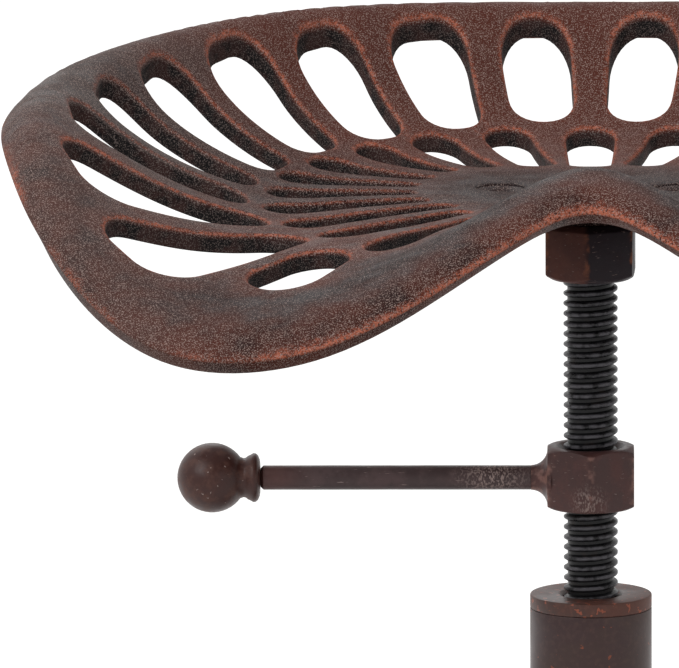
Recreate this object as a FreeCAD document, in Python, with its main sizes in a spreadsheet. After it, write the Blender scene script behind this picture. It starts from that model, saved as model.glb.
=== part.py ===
# Tractor seat stool: a pierced cast seat on a lifting screw, a locking nut with a lever and ball
# knob, a tubular column and four bent tube legs with a foot ring.
# Millimetres, +Z up. The origin is on the floor, on the axis of the lifting screw. The seat's front
# tongue points to -Y and its high back to +Y.

import FreeCAD, Part
import math
import os
import Sketcher

Vector = FreeCAD.Vector
UP = Vector(0, 0, 1)

# Driving dimensions, in millimetres; angles are in degrees and turns are counts.
SIZES = {
    # column and its end pieces
    "column_height": 515.0,
    "column_diameter": 45.0,
    "column_wall": 3.0,
    "cap_thickness": 5.0,
    "cap_edge_round": 1.2,
    "cap_bore": 23.6,
    "screw_nut_length": 45.0,
    "screw_nut_chamfer": 1.5,
    "plug_flange": 3.0,
    "plug_depth": 15.0,
    "plug_wall": 2.5,
    # lifting screw, its foot and its travel
    "screw_diameter": 20.0,
    "thread_pitch": 3.8,
    "turns_up": 26.25,
    "turns_down": 14.75,
    "stop_gap": 0.25,
    "foot_room": 13.35,
    "spigot_diameter": 14.0,
    "bush_length": 18.0,
    "bush_chamfer": 1.0,
    "guide_washer_diameter": 30.0,
    "guide_washer_thickness": 2.0,
    "guide_bolt_diameter": 8.0,
    "guide_bolt_length": 24.0,
    "guide_bolt_across": 13.0,
    "guide_bolt_head": 5.3,
    # hexagon under the seat
    "hex_rise": 118.0,
    "hex_across": 32.0,
    "hex_height": 21.1,
    "hex_top_bevel_in": 3.0,
    "hex_top_bevel": 1.9,
    "hex_turn": -4.0,
    "hex_allowance": 1.0,
    "hex_bottom_circle": 29.0,
    "hex_bottom_bevel": 2.4,
    # locking nut, lever and ball knob
    "nut_rise": 32.5,
    "nut_across": 32.0,
    "nut_height": 23.0,
    "nut_countersink": 25.0,
    "nut_bevel": 1.6,
    "nut_face_circle": 30.5,
    "lug_root": 21.0,
    "lug_end": 9.2,
    "lug_reach": 22.0,
    "lug_overlap": 1.0,
    "lever_rise": 11.0,
    "lever_diameter": 9.0,
    "lever_length": 100.0,
    "lever_spigot": 6.0,
    "lever_spigot_length": 8.5,
    "knob_diameter": 25.8,
    "knob_reach": 139.8,
    "knob_neck": 14.5,
    "knob_neck_reach": 128.7,
    "knob_collar": 18.2,
    "knob_collar_reach": 124.3,
    "knob_spigot_length": 14.0,
    "ring_outer": 28.0,
    "ring_thickness": 2.3,
    # seat casting
    "pan_thickness": 7.2,
    "wall_thickness": 7.1,
    "rim_thickness": 7.4,
    "pan_inner_circle": 20.0,
    "hub_thickness": 11.1,
    "hub_diameter": 26.0,
    "hub_taper": 1.5,
    "seat_bolt_clearance": 0.5,
    "fixing_hole_spacing": 65.6,
    "fixing_hole_offset": 11.0,
    "fixing_hole": 6.0,
    "fixing_recess": 17.5,
    "fixing_recess_depth": 2.5,
    # seat bolt and washer
    "seat_bolt_diameter": 10.0,
    "seat_bolt_length": 34.0,
    "seat_bolt_head": 17.5,
    "seat_bolt_head_height": 5.0,
    "seat_bolt_socket": 6.0,
    "seat_bolt_socket_depth": 3.0,
    "seat_washer_diameter": 30.0,
    "seat_washer_thickness": 2.0,
    # leg hub
    "hub_height": 56.0,
    "hub_sleeve": 66.0,
    "socket_boss": 36.0,
    "socket_reach": 66.0,
    "socket_depth": 36.0,
    "socket_overlap": 1.0,
    "hub_round": 3.0,
    # legs and feet
    "leg_diameter": 25.0,
    "leg_wall": 2.0,
    "leg_upper_bend": 80.0,
    "leg_lower_bend": 60.0,
    "leg_straight_top": 90.0,
    "leg_straight_bottom": 26.0,
    "foot_reach": 276.0,
    "foot_diameter": 34.0,
    "foot_height": 26.0,
    "foot_floor": 6.0,
    "foot_taper": 1.5,
    "foot_round": 2.0,
    # foot ring and its fixings
    "ring_height": 150.0,
    "ring_tube": 19.0,
    "ring_wall": 1.5,
    "ring_gap": 4.0,
    "spacer_diameter": 15.0,
    "saddle_diameter": 14.0,
    "saddle_edge": 1.0,
    "leg_bolt_diameter": 8.0,
    "leg_bolt_across": 13.0,
    "leg_bolt_head": 5.3,
    "leg_bolt_place": 48.0,
    "leg_washer_diameter": 16.0,
    "leg_washer_thickness": 1.6,
    "ring_bolt_diameter": 6.0,
    "ring_bolt_across": 10.0,
    "ring_bolt_head": 4.0,
    "ring_bolt_end": 1.0,
    "ring_nut_height": 5.0,
    # clearances between pieces
    "fit_gap": 0.1,
    "loose_gap": 0.3,
    "screw_gap": 0.1,
}
LEG_ANGLES = {
    "front_right": -45,
    "back_right": 45,
    "back_left": 135,
    "front_left": -135,
}
# Half length of the construction lines that stand for axes, and of the tools that cut the slots;
# each only has to reach well past its piece.
AXIS_REACH = 60.0
SLOT_TOOL_REACH = 80.0
# Range and number of halvings in the search for the leg's slope, in radians.
SLOPE_RANGE = (0.2, 1.5)
SLOPE_SEARCHES = 60
# Shares of a bolt head: the bevel on a hexagon's corners, and a button head's edge, shoulder and
# crown.
BOLT_BEVEL = 0.8
BUTTON_EDGE = 0.3
BUTTON_SHOULDER_OUT = 0.87
BUTTON_SHOULDER_UP = 0.68
BUTTON_CROWN = 0.55

doc = FreeCAD.newDocument("stool")
sheet = doc.addObject("Spreadsheet::Sheet", "Sizes")
for row, (alias, value) in enumerate(SIZES.items(), start=1):
    sheet.set("A%d" % row, alias.replace("_", " "))
    sheet.set("B%d" % row, str(value))
    sheet.setAlias("B%d" % row, alias)
doc.recompute()


class Size:
    """A number read from the sheet, or worked out from such numbers, that carries its own formula."""

    def __init__(self, value, formula):
        self.value = float(value)
        self.formula = formula

    @staticmethod
    def of(other):
        if isinstance(other, Size):
            return other
        return Size(other, "%.9g" % other if other >= 0 else "(%.9g)" % other)

    def joined(self, sign, other, value):
        return Size(value, "(%s %s %s)" % (self.formula, sign, Size.of(other).formula))

    def __add__(self, other):
        return self.joined("+", other, self.value + Size.of(other).value)

    def __sub__(self, other):
        return self.joined("-", other, self.value - Size.of(other).value)

    def __mul__(self, other):
        return self.joined("*", other, self.value * Size.of(other).value)

    def __truediv__(self, other):
        return self.joined("/", other, self.value / Size.of(other).value)

    def __rsub__(self, other):
        return Size.of(other) - self

    def __neg__(self):
        return Size.of(0.0) - self


def size(alias):
    """The sheet's size of that name."""
    return Size(sheet.get(alias), "Sizes.%s" % alias)


ZERO = Size.of(0.0)

# Heights above the floor that several pieces share.
COLUMN_TOP = size("column_height")
TUBE_TOP = COLUMN_TOP - size("cap_thickness")
SCREW_NUT_BOTTOM = TUBE_TOP - size("screw_nut_length")
BUSH_TOP = SCREW_NUT_BOTTOM - size("thread_pitch") * size("turns_up") - size("stop_gap")
SPIGOT_LENGTH = size("bush_length") + size("loose_gap") * 2
SCREW_SHOULDER = BUSH_TOP + size("loose_gap")
SPIGOT_END = SCREW_SHOULDER - SPIGOT_LENGTH
# The column is as long as the screw's travel needs, with room under its foot in its lowest place.
SCREW_FOOT = SPIGOT_END - size("guide_washer_thickness") - size("guide_bolt_head")
LOWEST_FOOT = SCREW_FOOT - size("thread_pitch") * size("turns_down")
TUBE_BOTTOM = LOWEST_FOOT - size("foot_room") - size("plug_depth")
HEX_BOTTOM = COLUMN_TOP + size("hex_rise")
HEX_TOP = HEX_BOTTOM + size("hex_height")
PAN_TOP = HEX_TOP + size("hub_thickness")
NUT_BOTTOM = COLUMN_TOP + size("nut_rise")
LEVER_HEIGHT = NUT_BOTTOM + size("lever_rise")
SOCKET_HEIGHT = TUBE_BOTTOM + size("hub_height") / 2
TUBE_BORE = size("column_diameter") - size("column_wall") * 2


def bind(thing, setting, amount):
    """Ties one setting of an object to a formula in the sheet's names."""
    thing.setExpression(setting, Size.of(amount).formula)


def make_body(label, height=ZERO, turn=0.0):
    """An empty body that stands at a height on the axis, turned about it."""
    body = doc.addObject("PartDesign::Body", label)
    body.Label = label
    body.Placement = FreeCAD.Placement(Vector(0, 0, height.value), FreeCAD.Rotation(UP, turn))
    bind(body, "Placement.Base.z", height)
    return body


def add_sketch(body, name, plane, offset=ZERO):
    """A sketch on one of the body's own origin planes, moved off it along the plane's normal."""
    sketch = body.newObject("Sketcher::SketchObject", name)
    support = [item for item in body.Origin.OriginFeatures if item.Role == plane][0]
    sketch.AttachmentSupport = [(support, "")]
    sketch.MapMode = "FlatFace"
    sketch.AttachmentOffset = FreeCAD.Placement(Vector(0, 0, offset.value), FreeCAD.Rotation())
    bind(sketch, "AttachmentOffset.Base.z", offset)
    return sketch


def hold_point(sketch, edge, end, across, up):
    """Fixes one end of an edge at a pair of sizes, measured from the sketch's origin."""
    for kind, amount in (("DistanceX", across), ("DistanceY", up)):
        amount = Size.of(amount)
        index = sketch.addConstraint(Sketcher.Constraint(kind, -1, 1, edge, end, amount.value))
        bind(sketch, "Constraints[%d]" % index, amount)


def draw_outline(sketch, corners):
    """A closed outline of straight edges through corners given as pairs of sizes."""
    corners = [(Size.of(across), Size.of(up)) for across, up in corners]
    places = [Vector(across.value, up.value, 0) for across, up in corners]
    count = len(places)
    edges = []
    for index in range(count):
        line = Part.LineSegment(places[index], places[(index + 1) % count])
        edges.append(sketch.addGeometry(line, False))
    for index, edge in enumerate(edges):
        following = edges[(index + 1) % count]
        sketch.addConstraint(Sketcher.Constraint("Coincident", edge, 2, following, 1))
    for edge, (across, up) in zip(edges, corners):
        hold_point(sketch, edge, 1, across, up)
    return edges


def draw_circle(sketch, across, up, diameter):
    """A circle about a pair of sizes."""
    across, up, diameter = Size.of(across), Size.of(up), Size.of(diameter)
    circle = Part.Circle(Vector(across.value, up.value, 0), UP, diameter.value / 2)
    edge = sketch.addGeometry(circle, False)
    hold_point(sketch, edge, 3, across, up)
    index = sketch.addConstraint(Sketcher.Constraint("Diameter", edge, diameter.value))
    bind(sketch, "Constraints[%d]" % index, diameter)
    return edge


def add_arc(sketch, centre, radius, first, last):
    """An arc drawn anticlockwise between two angles in radians: its end 1 is the first, 2 the last."""
    circle = Part.Circle(centre, UP, radius)
    return sketch.addGeometry(Part.ArcOfCircle(circle, first, last), False)


def hexagon(across):
    """Corners of a hexagon of that width across its flats, with one corner towards -Y."""
    corner = across / (2 * math.cos(math.radians(30)))
    turns = [math.radians(-90 + 60 * step) for step in range(6)]
    shares = [(round(math.cos(turn), 9), round(math.sin(turn), 9)) for turn in turns]
    return [(corner * across_share, corner * up_share) for across_share, up_share in shares]


def revolve(body, sketch, axis="V_Axis", feature="PartDesign::Revolution"):
    """A full turn of a sketch about its own upright or level axis."""
    turned = body.newObject(feature, "%s_turned" % sketch.Name)
    turned.Profile = sketch
    turned.ReferenceAxis = (sketch, [axis])
    turned.Angle = 360.0
    sketch.Visibility = False
    return turned


def turned_body(label, corners, height=ZERO, turn=0.0):
    """A body turned about the upright axis from an outline of (radius, height) corners."""
    body = make_body(label, height, turn)
    sketch = add_sketch(body, label + "_outline", "XZ_Plane")
    draw_outline(sketch, corners)
    revolve(body, sketch)
    return body


def pad(body, sketch, length, both_ways=False):
    """A straight pad of a sketch along its plane's normal."""
    feature = body.newObject("PartDesign::Pad", "%s_pad" % sketch.Name)
    feature.Profile = sketch
    feature.Midplane = both_ways
    bind(feature, "Length", length)
    return feature


def pocket_through(body, sketch):
    """A pocket of a sketch right through the body, both ways."""
    feature = body.newObject("PartDesign::Pocket", "%s_pocket" % sketch.Name)
    feature.Profile = sketch
    feature.Type = "ThroughAll"
    feature.Midplane = True
    return feature


def pocket(body, sketch, depth, reverse=False):
    """A pocket of a sketch to a depth, against the plane's normal or, reversed, along it."""
    feature = body.newObject("PartDesign::Pocket", "%s_pocket" % sketch.Name)
    feature.Profile = sketch
    feature.Reversed = reverse
    bind(feature, "Length", depth)
    return feature


def cut_flats(body, across, around):
    """Cuts a turned blank to a hexagon by taking away all that lies outside it."""
    sketch = add_sketch(body, body.Name + "_flats", "XY_Plane")
    draw_outline(sketch, hexagon(across))
    draw_circle(sketch, 0.0, 0.0, around)
    return pocket_through(body, sketch)


def round_edges(body, radius, chosen):
    """Rounds the edges of the body so far that a test on each edge chooses."""
    doc.recompute()
    base = body.Tip
    names = ["Edge%d" % (index + 1) for index, edge in enumerate(base.Shape.Edges) if chosen(edge)]
    feature = body.newObject("PartDesign::Fillet", "%s_round" % body.Name)
    feature.Base = (base, names)
    bind(feature, "Radius", radius)
    return feature


def polar(body, features, count):
    """Repeats features about the body's upright axis."""
    pattern = body.newObject("PartDesign::PolarPattern", "%s_pattern" % features[-1].Name)
    pattern.Originals = features
    axis = [item for item in body.Origin.OriginFeatures if item.Role == "Z_Axis"][0]
    pattern.Axis = (axis, [""])
    pattern.Angle = 360.0
    pattern.Occurrences = count
    body.Tip = pattern
    return pattern


# Column: tube, welded cap, long nut inside it and the plug that closes its foot.
def build_column():
    """Tube, cap, long nut and foot plug."""
    outer = size("column_diameter") / 2
    bore = TUBE_BORE / 2
    tube_length = TUBE_TOP - TUBE_BOTTOM
    turned_body(
        "column_tube",
        [(bore, 0.0), (outer, 0.0), (outer, tube_length), (bore, tube_length)],
        TUBE_BOTTOM,
    )

    thickness = size("cap_thickness")
    hole = size("screw_diameter") / 2 + size("loose_gap")
    sink = size("cap_bore") / 2
    cap = turned_body(
        "column_cap",
        [
            (hole, 0.0),
            (outer, 0.0),
            (outer, thickness),
            (sink, thickness),
            (hole, thickness - sink + hole),
        ],
        TUBE_TOP,
    )
    top = thickness.value
    rim = outer.value
    round_edges(
        cap,
        size("cap_edge_round"),
        lambda edge: abs(edge.BoundBox.ZMin - top) < 0.01 and abs(edge.BoundBox.XMax - rim) < 0.01,
    )

    radius = bore - size("fit_gap")
    chamfer = size("screw_nut_chamfer")
    length = size("screw_nut_length")
    thread = size("screw_diameter") / 2 + size("screw_gap")
    turned_body(
        "column_nut",
        [
            (thread + chamfer, 0.0),
            (radius - chamfer, 0.0),
            (radius, chamfer),
            (radius, length),
            (thread, length),
            (thread, chamfer),
        ],
        SCREW_NUT_BOTTOM,
    )

    flange = size("plug_flange")
    spigot = bore - size("fit_gap")
    depth = flange + size("plug_depth")
    turned_body(
        "column_plug",
        [
            (0.0, 0.0),
            (outer, 0.0),
            (outer, flange),
            (spigot, flange),
            (spigot, depth),
            (spigot - size("plug_wall"), depth),
            (spigot - size("plug_wall"), flange),
            (0.0, flange),
        ],
        TUBE_BOTTOM - flange,
    )


# Lifting screw with the bush, washer and bolt that guide its foot inside the column.
def build_screw():
    """The screw's core, guide bush, guide washer and guide bolt."""
    shaft = size("screw_diameter") / 2
    spigot = size("spigot_diameter") / 2
    tapped = size("guide_bolt_diameter") / 2 + size("fit_gap")
    tapped_depth = size("guide_bolt_length")
    seat_tapped = size("seat_bolt_diameter") / 2 + size("fit_gap")
    seat_tapped_depth = size("seat_bolt_length") - size("hub_thickness")
    top = HEX_TOP - SPIGOT_END
    body = make_body("lift_screw", SPIGOT_END)
    sketch = add_sketch(body, "lift_screw_outline", "XZ_Plane")
    draw_outline(
        sketch,
        [
            (0.0, tapped_depth),
            (tapped, tapped_depth),
            (tapped, 0.0),
            (spigot, 0.0),
            (spigot, SPIGOT_LENGTH),
            (shaft, SPIGOT_LENGTH),
            (shaft, top),
            (seat_tapped, top),
            (seat_tapped, top - seat_tapped_depth),
            (0.0, top - seat_tapped_depth),
        ],
    )
    revolve(body, sketch)

    outer = TUBE_BORE / 2 - size("loose_gap")
    inner = spigot + size("loose_gap")
    length = size("bush_length")
    chamfer = size("bush_chamfer")
    turned_body(
        "guide_bush",
        [
            (inner, 0.0),
            (outer - chamfer, 0.0),
            (outer, chamfer),
            (outer, length - chamfer),
            (outer - chamfer, length),
            (inner, length),
        ],
        BUSH_TOP - length,
    )

    thickness = size("guide_washer_thickness")
    turned_body(
        "guide_washer",
        [
            (tapped, 0.0),
            (size("guide_washer_diameter") / 2, 0.0),
            (size("guide_washer_diameter") / 2, thickness),
            (tapped, thickness),
        ],
        SPIGOT_END - thickness,
    )
    build_hex_bolt(
        "guide_bolt",
        size("guide_bolt_diameter"),
        size("guide_bolt_length") - thickness,
        size("guide_bolt_across"),
        size("guide_bolt_head"),
        SPIGOT_END - thickness,
    )


def build_hex_bolt(label, diameter, length, across, head, height):
    """A hexagon bolt that points up, with the seat of its head at a height."""
    corner = across / (2 * math.cos(math.radians(30)))
    bevel = (corner - across / 2) * BOLT_BEVEL
    drop = bevel * math.tan(math.radians(30))
    body = make_body(label, height)
    sketch = add_sketch(body, label + "_outline", "XZ_Plane")
    draw_outline(
        sketch,
        [
            (0.0, -head),
            (corner - bevel, -head),
            (corner, drop - head),
            (corner, 0.0),
            (diameter / 2, 0.0),
            (diameter / 2, length),
            (0.0, length),
        ],
    )
    revolve(body, sketch)
    flats = add_sketch(body, label + "_flats", "XY_Plane")
    draw_outline(flats, hexagon(across))
    draw_circle(flats, 0.0, 0.0, corner * 3)
    pocket(body, flats, head)
    return body


# Hexagon that is fixed on the screw's upper end and carries the seat.
def build_seat_hex():
    """The bevelled hexagon under the seat."""
    corner = size("hex_across") / (2 * math.cos(math.radians(30)))
    bore = size("screw_diameter") / 2 + size("fit_gap")
    height = size("hex_height")
    shoulder = height - size("hex_top_bevel")
    face = size("hex_bottom_circle") / 2
    blank = corner + size("hex_allowance")
    body = turned_body(
        "seat_hex",
        [
            (bore, 0.0),
            (face, 0.0),
            (blank, size("hex_bottom_bevel") * (blank - face) / (corner - face)),
            (blank, shoulder),
            (bore, shoulder),
        ],
        HEX_BOTTOM,
        size("hex_turn").value,
    )
    cut_flats(body, size("hex_across"), corner * 3)
    lower = add_sketch(body, "seat_hex_shoulder", "XY_Plane", shoulder)
    draw_outline(lower, hexagon(size("hex_across")))
    upper = add_sketch(body, "seat_hex_top", "XY_Plane", height)
    draw_outline(upper, hexagon(size("hex_across") - size("hex_top_bevel_in") * 2))
    bevel = body.newObject("PartDesign::AdditiveLoft", "seat_hex_bevel")
    bevel.Profile = lower
    bevel.Sections = [upper]
    bevel.Ruled = True
    lower.Visibility = False
    upper.Visibility = False
    drill = add_sketch(body, "seat_hex_bore", "XY_Plane")
    draw_circle(drill, 0.0, 0.0, bore * 2)
    pocket_through(body, drill)


# Locking nut with its lever, ball knob and captive thrust ring.
def build_lock():
    """The nut with its lug, the lever, the knob and the thrust ring."""
    corner = size("nut_across") / (2 * math.cos(math.radians(30)))
    thread = size("screw_diameter") / 2 + size("screw_gap")
    height = size("nut_height")
    sink = size("nut_countersink") / 2
    recess = size("ring_outer") / 2 + size("loose_gap")
    recess_depth = size("ring_thickness") + size("loose_gap")
    face = size("nut_face_circle") / 2
    bevel = size("nut_bevel")
    body = turned_body(
        "lock_nut",
        [
            (recess, 0.0),
            (face, 0.0),
            (corner, bevel),
            (corner, height - bevel),
            (face, height),
            (sink, height),
            (thread, height - sink + thread),
            (thread, recess_depth),
            (recess, recess_depth),
        ],
        NUT_BOTTOM,
    )
    cut_flats(body, size("nut_across"), corner * 3)

    rise = size("lever_rise")
    reach = size("lug_reach")
    root = size("nut_across") / 2
    lug = add_sketch(body, "lug_outline", "XZ_Plane")
    root_radius = size("lug_root") / 2
    end_radius = size("lug_end") / 2
    inner = root - size("lug_overlap")
    draw_lug(lug, inner, root, reach, rise, root_radius, end_radius)
    revolve_about_line(body, lug, rise)

    hole = add_sketch(body, "lug_hole", "YZ_Plane")
    draw_circle(hole, 0.0, rise, size("lever_spigot") + size("fit_gap") * 2)
    pocket(body, hole, reach + size("loose_gap"))

    build_lever()
    outer = size("ring_outer") / 2
    ring_bore = thread + size("loose_gap")
    turned_body(
        "lock_ring",
        [
            (ring_bore, 0.0),
            (outer, 0.0),
            (outer, size("ring_thickness")),
            (ring_bore, size("ring_thickness")),
        ],
        NUT_BOTTOM,
    )


def draw_lug(sketch, inner, root, reach, rise, root_radius, end_radius):
    """Half outline of the lug: a flare that runs from the nut's flat out to the lever's width."""
    run = (reach - root).value
    fall = (root_radius - end_radius).value
    radius = (run ** 2 + fall ** 2) / (2 * fall)
    centre = Vector(-reach.value, (rise + end_radius).value + radius, 0)
    curve = add_arc(sketch, centre, radius, -math.pi / 2, math.atan2(fall - radius, run))
    corners = [
        (-root, rise + root_radius),
        (-inner, rise + root_radius),
        (-inner, rise),
        (-reach, rise),
        (-reach, rise + end_radius),
    ]
    places = [Vector(across.value, up.value, 0) for across, up in corners]
    lines = [
        sketch.addGeometry(Part.LineSegment(first, second), False)
        for first, second in zip(places[:-1], places[1:])
    ]
    sketch.addConstraint(Sketcher.Constraint("Coincident", curve, 2, lines[0], 1))
    for first, second in zip(lines[:-1], lines[1:]):
        sketch.addConstraint(Sketcher.Constraint("Coincident", first, 2, second, 1))
    sketch.addConstraint(Sketcher.Constraint("Coincident", lines[-1], 2, curve, 1))
    for line, (across, up) in zip(lines, corners):
        hold_point(sketch, line, 1, across, up)
    hold_point(sketch, curve, 1, -reach, rise + end_radius)
    sketch.addConstraint(Sketcher.Constraint("Vertical", curve, 3, curve, 1))


def revolve_about_line(body, sketch, rise):
    """A full turn of a sketch about a level line at a height, drawn in it as construction."""
    start = Vector(-AXIS_REACH, rise.value, 0)
    end = Vector(AXIS_REACH, rise.value, 0)
    line = sketch.addGeometry(Part.LineSegment(start, end), True)
    hold_point(sketch, line, 1, -AXIS_REACH, rise)
    hold_point(sketch, line, 2, AXIS_REACH, rise)
    turned = body.newObject("PartDesign::Revolution", "%s_turned" % sketch.Name)
    turned.Profile = sketch
    turned.ReferenceAxis = (sketch, ["Axis0"])
    turned.Angle = 360.0
    sketch.Visibility = False
    return turned


def build_lever():
    """The lever bar with its two spigots, and the ball knob with its neck and flared collar."""
    start = size("lug_reach")
    end = start + size("lever_length")
    bar = size("lever_diameter") / 2
    spigot = size("lever_spigot") / 2
    inner = start - size("lever_spigot_length")
    outer = end + size("knob_spigot_length") - size("loose_gap")
    lever = make_body("lock_lever", LEVER_HEIGHT)
    sketch = add_sketch(lever, "lever_outline", "XZ_Plane")
    draw_outline(
        sketch,
        [
            (-inner, 0.0),
            (-inner, spigot),
            (-start, spigot),
            (-start, bar),
            (-end, bar),
            (-end, spigot),
            (-outer, spigot),
            (-outer, 0.0),
        ],
    )
    revolve(lever, sketch, "H_Axis")

    knob = make_body("ball_knob", LEVER_HEIGHT)
    outline = add_sketch(knob, "knob_outline", "XZ_Plane")
    draw_knob(outline, end)
    revolve(knob, outline, "H_Axis")


def draw_knob(sketch, end):
    """Half outline of the knob: ball, waisted neck and flared collar, with a bore for the lever."""
    ball = size("knob_diameter") / 2
    centre = size("knob_reach")
    neck = size("knob_neck") / 2
    neck_reach = size("knob_neck_reach")
    collar = size("knob_collar") / 2
    collar_reach = size("knob_collar_reach")
    bore = size("lever_spigot") / 2 + size("fit_gap")
    bore_end = end + size("knob_spigot_length")
    join = math.sqrt(ball.value ** 2 - neck.value ** 2)
    tip = Vector(-(centre + ball).value, 0, 0)
    joint = Vector(-centre.value + join, neck.value, 0)
    arc = add_arc(sketch, Vector(-centre.value, 0, 0), ball.value, math.atan2(neck.value, join), math.pi)
    corners = [
        (-neck_reach, neck),
        (-collar_reach, collar),
        (-end, collar),
        (-end, bore),
        (-bore_end, bore),
        (-bore_end, ZERO),
    ]
    places = [joint] + [Vector(across.value, up.value, 0) for across, up in corners] + [tip]
    lines = [
        sketch.addGeometry(Part.LineSegment(first, second), False)
        for first, second in zip(places[:-1], places[1:])
    ]
    sketch.addConstraint(Sketcher.Constraint("Coincident", arc, 1, lines[0], 1))
    for first, second in zip(lines[:-1], lines[1:]):
        sketch.addConstraint(Sketcher.Constraint("Coincident", first, 2, second, 1))
    sketch.addConstraint(Sketcher.Constraint("Coincident", lines[-1], 2, arc, 2))
    for line, (across, up) in zip(lines, corners):
        hold_point(sketch, line, 2, across, up)
    hold_point(sketch, arc, 3, -centre, 0.0)
    radius = sketch.addConstraint(Sketcher.Constraint("Radius", arc, ball.value))
    bind(sketch, "Constraints[%d]" % radius, ball)
    sketch.addConstraint(Sketcher.Constraint("PointOnObject", arc, 2, -1))
    sketch.addConstraint(Sketcher.Constraint("Horizontal", lines[0]))


# Seat bolt and its washer.
def build_seat_bolt():
    """The button-head bolt that holds the seat down, and the washer under its head."""
    thickness = size("seat_washer_thickness")
    hole = size("seat_bolt_diameter") / 2 + size("seat_bolt_clearance") / 2
    turned_body(
        "seat_washer",
        [
            (hole, 0.0),
            (size("seat_washer_diameter") / 2, 0.0),
            (size("seat_washer_diameter") / 2, thickness),
            (hole, thickness),
        ],
        PAN_TOP,
    )
    head = size("seat_bolt_head") / 2
    head_height = size("seat_bolt_head_height")
    tip = thickness - size("seat_bolt_length")
    body = turned_body(
        "seat_bolt",
        [
            (0.0, tip),
            (size("seat_bolt_diameter") / 2, tip),
            (size("seat_bolt_diameter") / 2, 0.0),
            (head, 0.0),
            (head, head_height * BUTTON_EDGE),
            (head * BUTTON_SHOULDER_OUT, head_height * BUTTON_SHOULDER_UP),
            (head * BUTTON_CROWN, head_height),
            (0.0, head_height),
        ],
        PAN_TOP + thickness,
    )
    socket = add_sketch(body, "seat_bolt_socket_outline", "XY_Plane", head_height)
    draw_outline(socket, hexagon(size("seat_bolt_socket")))
    pocket(body, socket, size("seat_bolt_socket_depth"))


# The seat casting. Each section gives the form along one direction, counted in degrees from
# straight back; reach is from the screw's axis and height is above the pan. The roll is how far
# the rim goes out and down past the crest, and the share of the way down at its lip.
LIP_SHARE = 0.65


class Section:
    """Control points of the seat's upper surface along one direction, and its rolled rim."""

    def __init__(self, angle, pan, foot, wall, shoulder, crest, roll, rise=(0.0, 0.0)):
        self.angle = angle
        inner = size("pan_inner_circle").value
        near, far = rise
        out, drop, early = roll
        lip = (crest[0] + LIP_SHARE * out, crest[1] - early * drop)
        rim = (crest[0] + out, crest[1] - drop)
        middle = [(inner, 0.0), (2 * inner, near), (3 * inner, far)]
        self.points = middle + [pan, foot, wall, shoulder, crest, lip, rim]


SEAT_SECTIONS = [
    Section(
        0,
        pan=(95, 0),
        foot=(123, 6),
        wall=(145, 22.5),
        shoulder=(163, 50),
        crest=(179, 45.5),
        roll=(11, 10.5, 0.4),
    ),
    Section(
        45,
        pan=(95, 0),
        foot=(120.5, 3),
        wall=(152, 21),
        shoulder=(171.5, 53.5),
        crest=(182, 46),
        roll=(11, 10.3, 0.4),
    ),
    Section(
        90,
        pan=(95, 0),
        foot=(122.5, -1),
        wall=(164.5, 18),
        shoulder=(184.5, 40),
        crest=(199, 42),
        roll=(14, 12.5, 0.4),
    ),
    Section(
        112.5,
        pan=(95, -1),
        foot=(130.5, -3.5),
        wall=(167, 10),
        shoulder=(200, 28.5),
        crest=(213, 33.5),
        roll=(13, 12, 0.4),
    ),
    Section(
        127.5,
        pan=(100, -1),
        foot=(135, -3),
        wall=(174.5, -2.5),
        shoulder=(210, 6.5),
        crest=(224, 5),
        roll=(16, 5, 0.4),
    ),
    Section(
        142.5,
        pan=(100, -1),
        foot=(140.5, 1.5),
        wall=(174.5, -8),
        shoulder=(204.5, -14.5),
        crest=(223, -16),
        roll=(24, 12, 0.4),
        rise=(0.2, 1.2),
    ),
    Section(
        157.5,
        pan=(85, 4),
        foot=(115, 5),
        wall=(145, 5),
        shoulder=(175, 1),
        crest=(195, -5.5),
        roll=(27, 16.5, 0.35),
        rise=(1.0, 4.2),
    ),
    Section(
        168.75,
        pan=(75, 9),
        foot=(93, 13),
        wall=(115, 21),
        shoulder=(138, 21.5),
        crest=(155, 16.5),
        roll=(21.5, 11.5, 0.3),
        rise=(1.9, 6.2),
    ),
    Section(
        180,
        pan=(70, 9),
        foot=(85, 16),
        wall=(100, 26),
        shoulder=(118, 29),
        crest=(133, 26.5),
        roll=(13, 8.5, 0.2),
        rise=(2.1, 6.5),
    ),
]
# Thickness of the casting under each row of control points, from the pan's middle to the rim.
THICKNESS_ROWS = ["pan_thickness"] * 4 + ["wall_thickness"] * 4 + ["rim_thickness"] * 2


class Slot:
    """A tapered slot with four rounded corners, pierced straight down along one direction."""

    def __init__(self, angle, inner, outer, inner_width, outer_width, inner_round, outer_round):
        self.angle = angle
        self.inner = inner
        self.outer = outer
        self.inner_width = inner_width
        self.outer_width = outer_width
        self.inner_round = inner_round
        self.outer_round = outer_round


OUTER_SLOTS = [
    Slot(7.9, 124, 161.5, inner_width=23, outer_width=28, inner_round=12, outer_round=12.5),
    Slot(23.5, 123, 163, inner_width=20.5, outer_width=34, inner_round=11, outer_round=10.5),
    Slot(38.9, 122.5, 166, inner_width=23, outer_width=30.5, inner_round=10.5, outer_round=11),
    Slot(54.4, 122.5, 170.5, inner_width=23, outer_width=36.5, inner_round=9, outer_round=12.5),
    Slot(70.6, 121.5, 175, inner_width=24, outer_width=38, inner_round=8.5, outer_round=13.5),
    Slot(85.6, 123.5, 182, inner_width=18, outer_width=36, inner_round=8.5, outer_round=11),
    Slot(99.2, 127.5, 191.5, inner_width=24, outer_width=34, inner_round=10.5, outer_round=8),
    Slot(114.9, 130.5, 205, inner_width=21, outer_width=44, inner_round=10, outer_round=13),
    Slot(130.2, 138, 216.5, inner_width=22, outer_width=46.5, inner_round=10.5, outer_round=15),
    Slot(143, 151, 192, inner_width=23.5, outer_width=30, inner_round=13, outer_round=13.5),
]
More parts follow.
